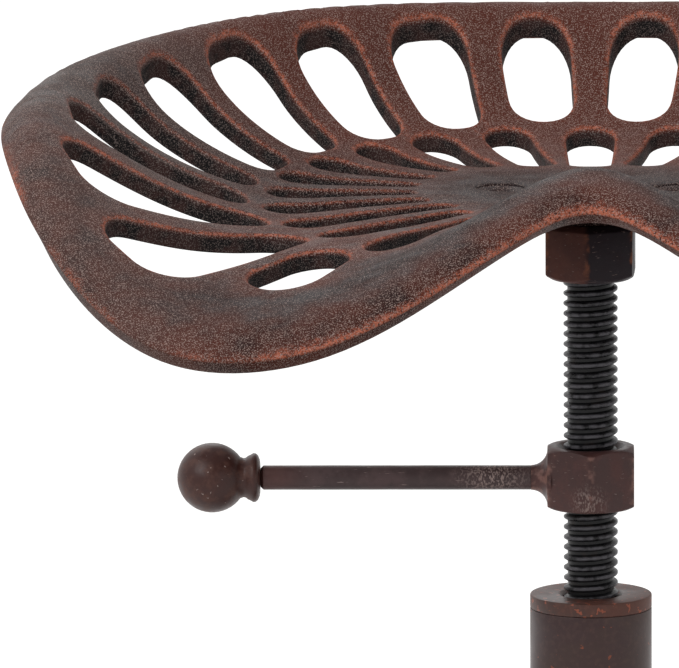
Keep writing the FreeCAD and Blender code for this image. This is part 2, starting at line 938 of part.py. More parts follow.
INNER_SLOTS = [
    Slot(0, 63, 118.7, inner_width=14.5, outer_width=19, inner_round=5.5, outer_round=9),
    Slot(16, 67, 120.5, inner_width=13, outer_width=18.5, inner_round=6, outer_round=9),
    Slot(31, 72, 121, inner_width=10.5, outer_width=20, inner_round=5, outer_round=9.5),
    Slot(45, 73, 120.5, inner_width=8.5, outer_width=18.5, inner_round=4, outer_round=8.5),
    Slot(60, 68, 119.5, inner_width=9.5, outer_width=20, inner_round=4.5, outer_round=9),
    Slot(75, 66, 119, inner_width=9, outer_width=20.5, inner_round=4, outer_round=9),
    Slot(90, 64.5, 119, inner_width=9, outer_width=20, inner_round=4, outer_round=9),
    Slot(105, 62, 123, inner_width=9, outer_width=20, inner_round=4, outer_round=9),
    Slot(120, 58, 127, inner_width=9, outer_width=21, inner_round=4, outer_round=9.5),
    Slot(135, 64, 134, inner_width=10, outer_width=22, inner_round=4.5, outer_round=10),
    Slot(150, 80, 150, inner_width=10, outer_width=22, inner_round=4.5, outer_round=10),
]
SLOT_ROUND_LIMIT = 0.96
SEAT_COLUMNS = 48


def smooth_value(angles, values, angle):
    """A value between the seat's sections, on a cubic that is level straight back and front."""
    place = 0
    while place < len(angles) - 2 and angle >= angles[place + 1]:
        place += 1

    def slope(index):
        if index in (0, len(angles) - 1):
            return 0.0
        before = (values[index] - values[index - 1]) / (angles[index] - angles[index - 1])
        after = (values[index + 1] - values[index]) / (angles[index + 1] - angles[index])
        share = (angles[index + 1] - angles[index]) / (angles[index + 1] - angles[index - 1])
        return before * share + after * (1 - share)

    span = angles[place + 1] - angles[place]
    part = (angle - angles[place]) / span
    start, end = values[place], values[place + 1]
    start_slope, end_slope = slope(place) * span, slope(place + 1) * span
    cube, square = part ** 3, part ** 2
    return (
        (2 * cube - 3 * square + 1) * start
        + (cube - 2 * square + part) * start_slope
        + (3 * square - 2 * cube) * end
        + (cube - square) * end_slope
    )


def seat_net():
    """Columns of control points of the seat's upper surface, round from the front tongue."""
    angles = [section.angle for section in SEAT_SECTIONS]
    swell = 3.0 / (2.0 + math.cos(2 * math.pi / SEAT_COLUMNS))
    rows = range(len(THICKNESS_ROWS))
    reaches = [[section.points[row][0] for section in SEAT_SECTIONS] for row in rows]
    heights = [[section.points[row][1] for section in SEAT_SECTIONS] for row in rows]
    columns = []
    for index in range(SEAT_COLUMNS):
        turn = -180.0 + 360.0 * index / SEAT_COLUMNS
        direction = Vector(-math.sin(math.radians(turn)), math.cos(math.radians(turn)), 0)
        column = []
        for row in rows:
            reach = smooth_value(angles, reaches[row], abs(turn))
            height = smooth_value(angles, heights[row], abs(turn))
            column.append(direction * (reach * swell) + UP * height)
        columns.append(column)
    return columns


def net_normal(columns, column, row):
    """Upward normal of the control net at one of its points."""
    around = columns[(column + 1) % len(columns)][row] - columns[column - 1][row]
    last = len(columns[column]) - 1
    along = columns[column][min(row + 1, last)] - columns[column][max(row - 1, 0)]
    normal = around.cross(along).normalize()
    return normal if normal.z > 0 else -normal


def under_net(columns):
    """The upper net moved down its own normals by the casting's thickness."""
    depths = [size(alias).value for alias in THICKNESS_ROWS]
    result = []
    for column, points in enumerate(columns):
        lowered = []
        for row, point in enumerate(points):
            normal = net_normal(columns, column, row) if row else UP
            lowered.append(point - normal * depths[row])
        result.append(lowered)
    return result


def net_face(columns):
    """A smooth face through a control net, closed around the axis."""
    rows = len(columns[0])
    around_knots = list(range(len(columns) + 1))
    along_knots = list(range(rows - 2))
    surface = Part.BSplineSurface()
    surface.buildFromPolesMultsKnots(
        columns,
        [1] * len(around_knots),
        [4] + [1] * (len(along_knots) - 2) + [4],
        around_knots,
        along_knots,
        True,
        False,
        3,
        3,
    )
    return surface.toShape()


def ring_edge(face, outermost):
    """The inner or the outermost round edge of a net face."""
    rings = [edge for edge in face.Edges if edge.isClosed()]
    rings.sort(key=lambda edge: edge.Length)
    return rings[-1] if outermost else rings[0]


def seat_blank():
    """The dished casting before it is pierced: two smooth skins, a rim band and the pan's middle."""
    columns = seat_net()
    upper = net_face(columns)
    lower = net_face(under_net(columns))
    band = Part.makeRuledSurface(ring_edge(upper, True), ring_edge(lower, True))
    middle = [Part.Face(Part.Wire([ring_edge(face, False)])) for face in (upper, lower)]
    shell = Part.makeShell([upper, lower, band] + middle)
    shell.sewShape()
    solid = Part.makeSolid(shell)
    if solid.Volume < 0:
        solid.reverse()
    return solid


def slot_prism(slot, mirrored):
    """The upright prism that pierces one slot."""
    corners = [
        (slot.inner, -slot.inner_width / 2, slot.inner_round),
        (slot.outer, -slot.outer_width / 2, slot.outer_round),
        (slot.outer, slot.outer_width / 2, slot.outer_round),
        (slot.inner, slot.inner_width / 2, slot.inner_round),
    ]
    edges = []
    count = len(corners)
    joints = []
    for index in range(count):
        corner = Vector(corners[index][0], corners[index][1], 0)
        before = (Vector(corners[index - 1][0], corners[index - 1][1], 0) - corner).normalize()
        following = corners[(index + 1) % count]
        after = (Vector(following[0], following[1], 0) - corner).normalize()
        half = before.getAngle(after) / 2
        widest = abs(corner.y) * math.tan(half) * SLOT_ROUND_LIMIT
        radius = min(corners[index][2], widest)
        start = corner + before * (radius / math.tan(half))
        end = corner + after * (radius / math.tan(half))
        inward = (before + after).normalize()
        middle = corner + inward * (radius / math.sin(half) - radius)
        joints.append((start, middle, end))
    for index, (start, middle, end) in enumerate(joints):
        edges.append(Part.Arc(start, middle, end).toShape())
        edges.append(Part.LineSegment(end, joints[(index + 1) % count][0]).toShape())
    prism = Part.Face(Part.Wire(edges)).extrude(UP * (2 * SLOT_TOOL_REACH))
    prism.translate(UP * -SLOT_TOOL_REACH)
    turn = -slot.angle if mirrored else slot.angle
    prism.rotate(Vector(), UP, 90 + turn)
    return prism


def build_seat():
    """The seat: dished blank, hub boss under it, two rings of slots and the fixing holes."""
    solid = seat_blank()
    pan = size("pan_thickness").value
    depth = size("hub_thickness").value
    boss_top = size("hub_diameter").value / 2 + size("hub_taper").value
    boss = Part.makeCone(size("hub_diameter").value / 2, boss_top, depth - pan / 2, UP * -depth)
    solid = solid.fuse(boss)
    cutters = [slot_prism(slot, False) for slot in OUTER_SLOTS + INNER_SLOTS]
    cutters += [slot_prism(slot, True) for slot in OUTER_SLOTS + INNER_SLOTS[1:]]
    bolt = (size("seat_bolt_diameter") + size("seat_bolt_clearance")).value
    cutters.append(Part.makeCylinder(bolt / 2, 2 * depth, UP * (-1.5 * depth)))
    recess = size("fixing_recess").value / 2
    hole = size("fixing_hole").value / 2
    recess_depth = size("fixing_recess_depth").value
    spacing = size("fixing_hole_spacing").value
    for side in (-1, 1):
        spot = Vector(side * spacing / 2, size("fixing_hole_offset").value, 0)
        cutters.append(Part.makeCylinder(hole, 2 * depth, spot - UP * (1.5 * depth)))
        cutters.append(Part.makeCone(hole, recess, recess_depth, spot - UP * recess_depth))
    solid = solid.cut(Part.makeCompound(cutters)).removeSplitter()
    seat = doc.addObject("Part::Feature", "seat")
    seat.Label = "seat"
    seat.Shape = solid.Solids[0]
    seat.Placement = FreeCAD.Placement(Vector(0, 0, PAN_TOP.value), FreeCAD.Rotation())
    bind(seat, "Placement.Base.z", PAN_TOP)


# Leg hub: a cast collar with four sockets.
def build_leg_hub():
    """The collar on the column's foot, with its sockets and bolt holes."""
    height = size("hub_height")
    bore = size("column_diameter") / 2 + size("fit_gap")
    sleeve = size("hub_sleeve") / 2
    ease = size("hub_round")
    body = turned_body(
        "leg_hub",
        [
            (bore, 0.0),
            (sleeve - ease, 0.0),
            (sleeve, ease),
            (sleeve, height - ease),
            (sleeve - ease, height),
            (bore, height),
        ],
        TUBE_BOTTOM,
        LEG_ANGLES["back_right"],
    )
    middle = height / 2
    boss_start = bore + size("socket_overlap")
    boss = add_sketch(body, "socket_boss", "YZ_Plane", boss_start)
    draw_circle(boss, 0.0, middle, size("socket_boss"))
    boss_pad = pad(body, boss, size("socket_reach") - boss_start)
    polar(body, [boss_pad], 4)
    socket = add_sketch(body, "socket", "YZ_Plane", size("socket_reach"))
    draw_circle(socket, 0.0, middle, size("leg_diameter") + size("fit_gap") * 2)
    socket_cut = pocket(body, socket, size("socket_depth"))
    polar(body, [socket_cut], 4)
    hole = add_sketch(body, "leg_bolt_hole", "XY_Plane")
    draw_circle(hole, size("leg_bolt_place"), 0.0, size("leg_bolt_diameter") + size("loose_gap") * 2)
    hole_cut = pocket(body, hole, middle, reverse=True)
    polar(body, [hole_cut], 4)


def leg_path():
    """Points of the leg's centre line in its own upright plane: two straights, two bends, a foot."""
    start = size("socket_reach").value - size("socket_depth").value + size("loose_gap").value
    height = SOCKET_HEIGHT.value
    straight = size("leg_straight_top").value
    upper = size("leg_upper_bend").value
    lower = size("leg_lower_bend").value
    reach = size("foot_reach").value
    knee = size("foot_floor").value + size("leg_straight_bottom").value
    low, high = SLOPE_RANGE
    for _ in range(SLOPE_SEARCHES):
        turn = (low + high) / 2
        bends = upper * math.sin(turn) + lower * (1 - math.sin(turn))
        run = (reach - straight - bends) / math.cos(turn)
        drop = upper * (1 - math.cos(turn)) + run * math.sin(turn) + lower * math.cos(turn)
        if drop < height - knee:
            low = turn
        else:
            high = turn
    return {
        "start": start,
        "height": height,
        "straight": straight,
        "upper": upper,
        "lower": lower,
        "reach": reach,
        "knee": knee,
        "turn": turn,
        "run": run,
    }


def leg_radius_at(height):
    """Distance of the leg's centre line from the axis at a height on its slope, and the slope."""
    path = leg_path()
    turn = path["turn"]
    slope_reach = path["straight"] + path["upper"] * math.sin(turn)
    slope_height = path["height"] - path["upper"] * (1 - math.cos(turn))
    return slope_reach + (slope_height - height) / math.tan(turn), turn


def build_leg(label, turn_about):
    """One bent tube leg, with holes for its hub bolt and its ring bolt."""
    course = leg_path()
    height, straight = course["height"], course["straight"]
    upper, lower = course["upper"], course["lower"]
    turn, run = course["turn"], course["run"]
    floor = size("foot_floor").value
    body = make_body(label, ZERO, turn_about)
    path = add_sketch(body, label + "_path", "XZ_Plane")
    tube_start = Vector(course["start"], height, 0)
    first_start = Vector(straight, height, 0)
    first_end = first_start + Vector(upper * math.sin(turn), upper * (math.cos(turn) - 1), 0)
    second_start = first_end + Vector(run * math.cos(turn), -run * math.sin(turn), 0)
    ankle = Vector(course["reach"], course["knee"], 0)
    sole = Vector(course["reach"], floor, 0)
    lean = math.pi / 2 - turn
    top = path.addGeometry(Part.LineSegment(tube_start, first_start), False)
    bend_a = add_arc(path, first_start - Vector(0, upper, 0), upper, lean, math.pi / 2)
    slope = path.addGeometry(Part.LineSegment(first_end, second_start), False)
    bend_b = add_arc(path, ankle - Vector(lower, 0, 0), lower, 0.0, lean)
    foot = path.addGeometry(Part.LineSegment(ankle, sole), False)
    add = path.addConstraint
    add(Sketcher.Constraint("Tangent", top, 2, bend_a, 2))
    add(Sketcher.Constraint("Tangent", bend_a, 1, slope, 1))
    add(Sketcher.Constraint("Tangent", slope, 2, bend_b, 2))
    add(Sketcher.Constraint("Tangent", bend_b, 1, foot, 1))
    add(Sketcher.Constraint("Vertical", foot))
    inner_end = size("socket_reach") - size("socket_depth") + size("loose_gap")
    hold_point(path, top, 1, inner_end, SOCKET_HEIGHT)
    hold_point(path, top, 2, size("leg_straight_top"), SOCKET_HEIGHT)
    hold_point(path, foot, 2, size("foot_reach"), size("foot_floor"))
    straight_end = add(Sketcher.Constraint("DistanceY", -1, 1, foot, 1, ankle.y))
    bind(path, "Constraints[%d]" % straight_end, size("foot_floor") + size("leg_straight_bottom"))
    for arc, alias in ((bend_a, "leg_upper_bend"), (bend_b, "leg_lower_bend")):
        radius = add(Sketcher.Constraint("Radius", arc, size(alias).value))
        bind(path, "Constraints[%d]" % radius, size(alias))

    section = add_sketch(body, label + "_section", "YZ_Plane", inner_end)
    draw_circle(section, 0.0, SOCKET_HEIGHT, size("leg_diameter"))
    draw_circle(section, 0.0, SOCKET_HEIGHT, size("leg_diameter") - size("leg_wall") * 2)
    pipe = body.newObject("PartDesign::AdditivePipe", label + "_pipe")
    pipe.Profile = section
    pipe.Spine = path
    path.Visibility = False
    section.Visibility = False

    bolt = add_sketch(body, label + "_bolt_hole", "XY_Plane")
    draw_circle(bolt, size("leg_bolt_place"), 0.0, size("leg_bolt_diameter") + size("loose_gap") * 2)
    pocket(body, bolt, SOCKET_HEIGHT, reverse=True)
    ring = add_sketch(body, label + "_ring_hole", "YZ_Plane")
    draw_circle(ring, 0.0, size("ring_height"), size("ring_bolt_diameter") + size("loose_gap") * 2)
    pocket(body, ring, size("foot_reach"), reverse=True)
    return body


def build_foot(label, turn_about):
    """One rubber foot, a cup that the leg's end stands in."""
    outer = size("foot_diameter") / 2
    bore = size("leg_diameter") / 2 + size("fit_gap")
    height = size("foot_height")
    taper = size("foot_taper")
    ease = size("foot_round")
    body = make_body(label)
    body.Placement = FreeCAD.Placement(Vector(), FreeCAD.Rotation(UP, turn_about))
    sketch = add_sketch(body, label + "_outline", "XZ_Plane")
    centre = size("foot_reach")
    draw_outline(
        sketch,
        [
            (centre, 0.0),
            (centre + outer - ease, 0.0),
            (centre + outer, ease),
            (centre + outer - taper, height - ease / 2),
            (centre + outer - taper - ease / 2, height),
            (centre + bore, height),
            (centre + bore, size("foot_floor")),
            (centre, size("foot_floor")),
        ],
    )
    start = Vector(centre.value, 0, 0)
    end = Vector(centre.value, AXIS_REACH, 0)
    axis = sketch.addGeometry(Part.LineSegment(start, end), True)
    hold_point(sketch, axis, 1, centre, 0.0)
    hold_point(sketch, axis, 2, centre, AXIS_REACH)
    turned = body.newObject("PartDesign::Revolution", label + "_turned")
    turned.Profile = sketch
    turned.ReferenceAxis = (sketch, ["Axis0"])
    turned.Angle = 360.0
    sketch.Visibility = False
    return body


# Foot ring and the spacers, bolts and nuts that hold it inside the four legs.
def ring_radius():
    """Radius of the ring's centre line: clear of the sloping legs by the spacer's gap."""
    leg, turn = leg_radius_at(size("ring_height").value)
    across = size("leg_diameter").value / 2 / math.sin(turn)
    return leg - across - size("ring_gap").value - size("ring_tube").value / 2


def build_foot_ring():
    """The tube ring with four bolt holes, its spacers, saddles, bolts and nuts."""
    height = size("ring_height").value
    centre = ring_radius()
    tube = size("ring_tube").value / 2
    leg_half = size("leg_diameter").value / 2
    bolt = size("ring_bolt_diameter").value / 2
    hole = bolt + size("loose_gap").value
    gap = size("fit_gap").value
    leg, turn = leg_radius_at(height)
    outer_ring = Part.makeTorus(centre, tube)
    inner_ring = Part.makeTorus(centre, tube - size("ring_wall").value)
    side = Vector(1, 0, 0)
    tool_reach = 4 * tube
    hole_cut = Part.makeCylinder(hole, tool_reach, side * (centre - tool_reach / 2), side)
    holes = [turned(hole_cut, angle) for angle in LEG_ANGLES.values()]
    place_shape("foot_ring", outer_ring.cut(inner_ring).cut(Part.makeCompound(holes)), height)

    along = Vector(math.cos(turn), 0, -math.sin(turn))
    core_start = side * leg - along * tool_reach
    leg_core = Part.makeCylinder(leg_half + gap, 2 * tool_reach, core_start, along)
    ring_core = Part.makeTorus(centre, tube + gap)
    spacer = level_bar(size("spacer_diameter").value / 2, centre, leg)
    spacer = spacer.cut(leg_core).cut(ring_core).cut(level_bar(hole, centre, leg))
    spacer = max(spacer.Solids, key=lambda solid: solid.Volume)
    place_shape("ring_spacers", one_per_leg(spacer), height)

    saddle_half = size("saddle_diameter").value / 2
    saddle_reach = leg_half / math.sin(turn) + saddle_half / math.tan(turn)
    head_seat = leg + saddle_reach + size("saddle_edge").value
    saddle = level_bar(saddle_half, leg, head_seat)
    saddle = saddle.cut(leg_core).cut(level_bar(hole, leg, head_seat))
    saddle = max(saddle.Solids, key=lambda solid: solid.CenterOfMass.x)
    place_shape("ring_saddles", one_per_leg(saddle), height)

    across = size("ring_bolt_across").value
    nut_seat = centre - tube - gap
    nut_end = nut_seat - size("ring_nut_height").value
    shank = level_bar(bolt, nut_end - size("ring_bolt_end").value, head_seat)
    head = hex_prism(across, size("ring_bolt_head").value, head_seat)
    place_shape("ring_bolts", one_per_leg(shank.fuse(head).removeSplitter()), height)
    nut = hex_prism(across, nut_seat - nut_end, nut_end)
    nut = nut.cut(level_bar(bolt + gap, nut_end, nut_seat))
    place_shape("ring_nuts", one_per_leg(nut), height)


def level_bar(radius, start, end):
    """A level round bar along X between two places."""
    side = Vector(1, 0, 0)
    return Part.makeCylinder(radius, end - start, side * start, side)


def hex_prism(across, length, start):
    """A hexagon bar along X, from a place outwards."""
    corners = [Vector(start, wide, high) for wide, high in hexagon_places(across)]
    return Part.Face(Part.makePolygon(corners)).extrude(Vector(length, 0, 0))


def hexagon_places(across):
    """Corners of a hexagon of that width across its flats, with the first one again at the end."""
    corner = across / 2 / math.cos(math.radians(30))
    turns = [math.radians(60 * step) for step in range(7)]
    return [(corner * math.cos(turn), corner * math.sin(turn)) for turn in turns]


def turned(shape, angle):
    """A copy of a shape turned about the upright axis."""
    copy = shape.copy()
    copy.rotate(Vector(), UP, angle)
    return copy


def one_per_leg(shape):
    """Copies of a shape at all four legs, as one."""
    return Part.makeCompound([turned(shape, angle) for angle in LEG_ANGLES.values()])


def place_shape(label, shape, height):
    """A finished shape as an object of its own at a height on the axis."""
    thing = doc.addObject("Part::Feature", label)
    thing.Label = label
    thing.Shape = shape
    thing.Placement = FreeCAD.Placement(Vector(0, 0, height), FreeCAD.Rotation())
    return thing


# Bolts and washers that hold the legs in the hub.
def build_leg_bolts():
    """The four hub bolts, from below, and their washers."""
    radius = size("leg_bolt_diameter").value / 2
    place = size("leg_bolt_place").value
    thickness = size("leg_washer_thickness").value
    gap = size("fit_gap").value
    head = size("leg_bolt_head").value
    boss_bottom = SOCKET_HEIGHT.value - size("socket_boss").value / 2
    seat_height = boss_bottom - gap - thickness
    tube_inside = SOCKET_HEIGHT.value - size("leg_diameter").value / 2 + size("leg_wall").value
    engaged = 2 * radius
    foot = Vector(place, 0, seat_height)
    washer = Part.makeCylinder(size("leg_washer_diameter").value / 2, thickness, foot)
    washer = washer.cut(Part.makeCylinder(radius + gap, thickness, foot))
    across = size("leg_bolt_across").value
    corners = [foot + Vector(wide, deep, -head) for wide, deep in hexagon_places(across)]
    bolt = Part.Face(Part.makePolygon(corners)).extrude(UP * head)
    bolt = bolt.fuse(Part.makeCylinder(radius, tube_inside + engaged - seat_height, foot))
    place_shape("leg_bolts", one_per_leg(bolt.removeSplitter()), 0.0)
    place_shape("leg_washers", one_per_leg(washer), 0.0)


build_column()
build_screw()
build_seat_hex()
build_lock()
build_seat_bolt()
build_seat()
build_leg_hub()
for leg_name, leg_turn in LEG_ANGLES.items():
    build_leg("leg_" + leg_name, leg_turn)
    build_foot("foot_" + leg_name, leg_turn)
build_foot_ring()
build_leg_bolts()
doc.recompute()

if LOWEST_FOOT.value < (TUBE_BOTTOM + size("plug_depth")).value:
    raise RuntimeError("the screw's foot meets the column's plug in its lowest place")
failed = [item.Name for item in doc.Objects if "Invalid" in item.State or "Error" in item.State]
if failed:
    raise RuntimeError("objects that did not build: " + ", ".join(failed))
pieces = [item for item in doc.Objects if item.TypeId in ("PartDesign::Body", "Part::Feature")]
for piece in pieces:
    if piece.Shape.isNull() or not piece.Shape.isValid() or not piece.Shape.Solids:
        raise RuntimeError("piece that is not a sound solid: " + piece.Label)
os.makedirs("parts", exist_ok=True)
for piece in pieces:
    piece.Shape.exportStep("parts/" + piece.Label + ".step")
    print(piece.Label, len(piece.Shape.Solids), "solid(s)", round(piece.Shape.Volume / 1000, 2), "cm3")
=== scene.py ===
"""Tractor seat stool: the dressed pieces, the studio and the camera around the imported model.

Metres, +Z up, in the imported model's own frame: the origin is on the floor under the lifting screw,
the seat's front tongue points to -Y and its high back to +Y. The classes' sizes are millimetres.
"""

from __future__ import annotations

import enum
import logging
import math
from dataclasses import dataclass, field
from typing import Any, Callable, Sequence

import bpy
import numpy as np
from mathutils import Matrix, Vector, kdtree


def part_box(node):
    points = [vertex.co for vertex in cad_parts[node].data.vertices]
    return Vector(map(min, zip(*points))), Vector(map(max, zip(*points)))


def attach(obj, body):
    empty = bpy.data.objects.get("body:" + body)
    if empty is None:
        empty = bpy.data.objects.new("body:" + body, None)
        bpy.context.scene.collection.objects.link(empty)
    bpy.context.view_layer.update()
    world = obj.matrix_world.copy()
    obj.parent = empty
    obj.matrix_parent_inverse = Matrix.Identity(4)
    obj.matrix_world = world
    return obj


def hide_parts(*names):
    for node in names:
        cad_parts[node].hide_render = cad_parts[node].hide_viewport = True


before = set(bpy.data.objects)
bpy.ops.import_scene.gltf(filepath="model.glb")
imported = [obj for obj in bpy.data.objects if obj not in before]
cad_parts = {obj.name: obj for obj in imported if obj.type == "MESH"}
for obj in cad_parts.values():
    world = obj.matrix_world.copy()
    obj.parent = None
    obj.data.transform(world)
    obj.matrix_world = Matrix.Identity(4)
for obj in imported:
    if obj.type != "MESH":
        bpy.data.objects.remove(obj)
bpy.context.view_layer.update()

MM = 0.001
FULL_TURN = 2 * math.pi
TUBE_SIDES = 40
# Distance to a hexagon's flat, for each unit of distance to its corner.
FLAT_PER_CORNER = math.cos(math.radians(30))
LOG = logging.getLogger("stool")

Piece = bpy.types.Object
Node = bpy.types.Node
Socket = bpy.types.NodeSocket
Tree = bpy.types.NodeTree
Point = tuple[float, float, float]
Outline = Sequence[tuple[float, float]]


class Body(enum.Enum):
    """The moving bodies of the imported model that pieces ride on."""

    FRAME = "frame"
    SEAT = "seat_and_screw"
    LOCK = "lock"


class Axis(enum.Enum):
    """The line that a piece is turned about, and the direction that its radius is drawn in."""

    UPRIGHT = ((0.0, 0.0, 1.0), (1.0, 0.0, 0.0))
    LEVEL = ((1.0, 0.0, 0.0), (0.0, 0.0, 1.0))


class Coat(enum.Enum):
    """The stool's finishes, named for what wears them."""

    CASTING = enum.auto()
    ENAMEL = enum.auto()
    CAP = enum.auto()
    NUT = enum.auto()
    HEXAGON = enum.auto()
    SCREW = enum.auto()
    KNOB = enum.auto()
    LEVER = enum.auto()
    RUBBER = enum.auto()
    PLASTIC = enum.auto()
    NYLON = enum.auto()
    FIXINGS = enum.auto()


Coats = dict[Coat, bpy.types.Material]


# Bench: modelling by operators


def clear_bench() -> None:
    """Leaves edit mode and deselects everything."""
    if bpy.context.object and bpy.context.object.mode != "OBJECT":
        bpy.ops.object.mode_set(mode="OBJECT")
    bpy.ops.object.select_all(action="DESELECT")


def take(piece: Piece) -> None:
    """Makes a piece the only one selected, and the active one.

    Args:
        piece: the piece.
    """
    clear_bench()
    piece.select_set(True)
    bpy.context.view_layer.objects.active = piece


def edit(piece: Piece) -> None:
    """Opens a piece in edit mode, with all of it selected.

    Args:
        piece: the piece.
    """
    take(piece)
    bpy.ops.object.mode_set(mode="EDIT")
    bpy.ops.mesh.select_all(action="SELECT")


def fix_place() -> None:
    """Moves the place of what is selected into its mesh."""
    bpy.ops.object.transform_apply(location=True, rotation=True, scale=True)


def extrude(shift: Sequence[float]) -> None:
    """Extrudes what is selected by a shift, in metres."""
    bpy.ops.mesh.extrude_region_move(TRANSFORM_OT_translate={"value": tuple(shift)})


def name_piece(name: str) -> Piece:
    """Names the piece that was just added.

    Args:
        name: the piece's name.

    Returns:
        The piece.
    """
    piece = bpy.context.object
    piece.name = name
    piece.data.name = name
    return piece


def draw_chain(name: str, places: Sequence[Vector]) -> Piece:
    """Draws a chain of edges, from a small plane drawn together to one point.

    Args:
        name: the piece's name.
        places: the chain's points, in metres.

    Returns:
        The piece, in edit mode.
    """
    clear_bench()
    bpy.ops.mesh.primitive_plane_add(size=MM, location=tuple(places[0]))
    piece = name_piece(name)
    edit(piece)
    bpy.ops.mesh.merge(type="CENTER")
    for before, after in zip(places[:-1], places[1:]):
        extrude(after - before)
    return piece


def draw_tube_end(name: str, radius: float, place: Point, turn: Point) -> Piece:
    """Draws the open circle that a tube is drawn out of.

    Args:
        name: the piece's name.
        radius: the tube's outer radius, in millimetres.
        place: the circle's centre, in metres.
        turn: its turn about X, Y and Z, in radians.

    Returns:
        The piece, in edit mode with all of it selected.
    """
    clear_bench()
    bpy.ops.mesh.primitive_circle_add(
        vertices=TUBE_SIDES, radius=radius * MM, fill_type="NOTHING", location=place, rotation=turn
    )
    piece = name_piece(name)
    fix_place()
    edit(piece)
    return piece


def merge_doubles(gap: float = 2e-6) -> None:
    """Merges selected points that lie within a gap, in metres."""
    bpy.ops.mesh.remove_doubles(threshold=gap)


def close_mesh(piece: Piece) -> None:
    """Merges a piece's doubles and turns its faces outwards.

    Args:
        piece: the piece, in any mode.
    """
    edit(piece)
    merge_doubles()
    bpy.ops.mesh.normals_make_consistent(inside=False)
    bpy.ops.object.mode_set(mode="OBJECT")


def turn_outline(
    name: str,
    outline: Outline,
    steps: int = 72,
    axis: Axis = Axis.UPRIGHT,
    centre: Point = (0.0, 0.0, 0.0),
) -> Piece:
    """Turns an outline into a round piece, with a spin of a drawn chain of edges.

    Args:
        name: the piece's name.
        outline: points of (radius, distance along the axis), in millimetres.
        steps: segments round the piece.
        axis: upright, or level along X.
        centre: a point on the axis, in metres, that distances count from.

    Returns:
        The closed piece, in object mode.
    """
    line, outwards = axis.value
    places = [
        Vector(centre) + (Vector(outwards) * radius + Vector(line) * along) * MM for radius, along in outline
    ]
    piece = draw_chain(name, places)
    bpy.ops.mesh.select_all(action="SELECT")
    bpy.ops.mesh.spin(steps=steps, angle=FULL_TURN, center=centre, axis=line)
    close_mesh(piece)
    return piece


def cut_flats(
    piece: Piece, across: float, lean: float = 0.0, height: float = 0.0, tilt: float = 0.0
) -> None:
    """Cuts six flats on a round piece that stands on the upright axis.

    Args:
        piece: the piece.
        across: width across the flats, in millimetres.
        lean: turn of the first flat from +X, in degrees.
        height: height at which the flats have that width, in millimetres.
        tilt: how far the flats face upwards, in radians.
    """
    edit(piece)
    for index in range(6):
        turn = math.radians(lean + 60.0 * index)
        out = Vector((math.cos(turn), math.sin(turn), 0.0))
        facing = out * math.cos(tilt) + Vector((0.0, 0.0, math.sin(tilt)))
        bpy.ops.mesh.select_all(action="SELECT")
        bpy.ops.mesh.bisect(
            plane_co=(out.x * across / 2 * MM, out.y * across / 2 * MM, height * MM),
            plane_no=tuple(facing),
            use_fill=True,
            clear_outer=True,
        )
    close_mesh(piece)


def soften(piece: Piece, width: float, segments: int = 2, sharper_than: float = 30.0) -> None:
    """Rounds a piece's edges with a bevel modifier, and applies it.

    Args:
        piece: the piece.
        width: width of the bevel, in millimetres.
        segments: steps of the round.
        sharper_than: edges that turn by more degrees than this are rounded.
    """
    take(piece)
    bevel = piece.modifiers.new("soft_edges", "BEVEL")
    bevel.width = width * MM
    bevel.segments = segments
    bevel.limit_method = "ANGLE"
    bevel.angle_limit = math.radians(sharper_than)
    bevel.use_clamp_overlap = True
    bpy.ops.object.modifier_apply(modifier=bevel.name)


def settle(piece: Piece, smooth: float = 38.0) -> Piece:
    """Puts a piece's place into its mesh and shades it smooth up to an angle.

    Args:
        piece: the piece.
        smooth: edges that turn by fewer degrees than this are shaded smooth.

    Returns:
        The piece.
    """
    take(piece)
    fix_place()
    bpy.ops.object.shade_smooth_by_angle(angle=math.radians(smooth))
    bpy.ops.object.select_all(action="DESELECT")
    return piece


def join(pieces: Sequence[Piece]) -> Piece:
    """Joins pieces into the first one.

    Args:
        pieces: the pieces.

    Returns:
        The joined piece.
    """
    clear_bench()
    for piece in pieces:
        piece.select_set(True)
    bpy.context.view_layer.objects.active = pieces[0]
    bpy.ops.object.join()
    return pieces[0]


def turned_copy(piece: Piece, name: str, turn: float) -> Piece:
    """Copies a piece with its own mesh and turns the copy about the upright axis.

    Args:
        piece: the piece to copy.
        name: the copy's name.
        turn: the turn, in degrees.

    Returns:
        The copy.
    """
    copy = piece.copy()
    copy.data = piece.data.copy()
    copy.name = name
    copy.data.name = name
    bpy.context.scene.collection.objects.link(copy)
    copy.matrix_world = Matrix.Rotation(math.radians(turn), 4, "Z") @ piece.matrix_world
    take(copy)
    fix_place()
    return copy


def height_of(node: str) -> tuple[float, float]:
    """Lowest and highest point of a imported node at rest, in millimetres."""
    low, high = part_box(node)
    return low[2] / MM, high[2] / MM


# Finishes


def paint(code: str) -> tuple[float, float, float, float]:
    """Turns an sRGB hex colour to linear values.

    Args:
        code: the colour, such as "#4a3834".

    Returns:
        Linear red, green and blue, and 1 for full cover.
    """
    values = [int(code[place : place + 2], 16) / 255.0 for place in (1, 3, 5)]
    linear = [v / 12.92 if v <= 0.04045 else ((v + 0.055) / 1.055) ** 2.4 for v in values]
    return linear[0], linear[1], linear[2], 1.0


def add(tree: Tree, kind: str, inputs: dict[Any, Any] | None = None, **settings: Any) -> Node:
    """Adds a node with its settings, and sets or links its sockets.

    Args:
        tree: the material's node tree.
        kind: the node's kind, without its ShaderNode prefix.
        inputs: socket names or numbers, with a value, or the socket or node that feeds each.
        settings: the node's own settings.

    Returns:
        The node.
    """
    made = tree.nodes.new("ShaderNode" + kind)
    for name, value in settings.items():
        setattr(made, name, value)
    for key, value in (inputs or {}).items():
        source = value.outputs[0] if isinstance(value, Node) else value
        if isinstance(source, Socket):
            tree.links.new(source, made.inputs[key])
        else:
            made.inputs[key].default_value = source
    return made


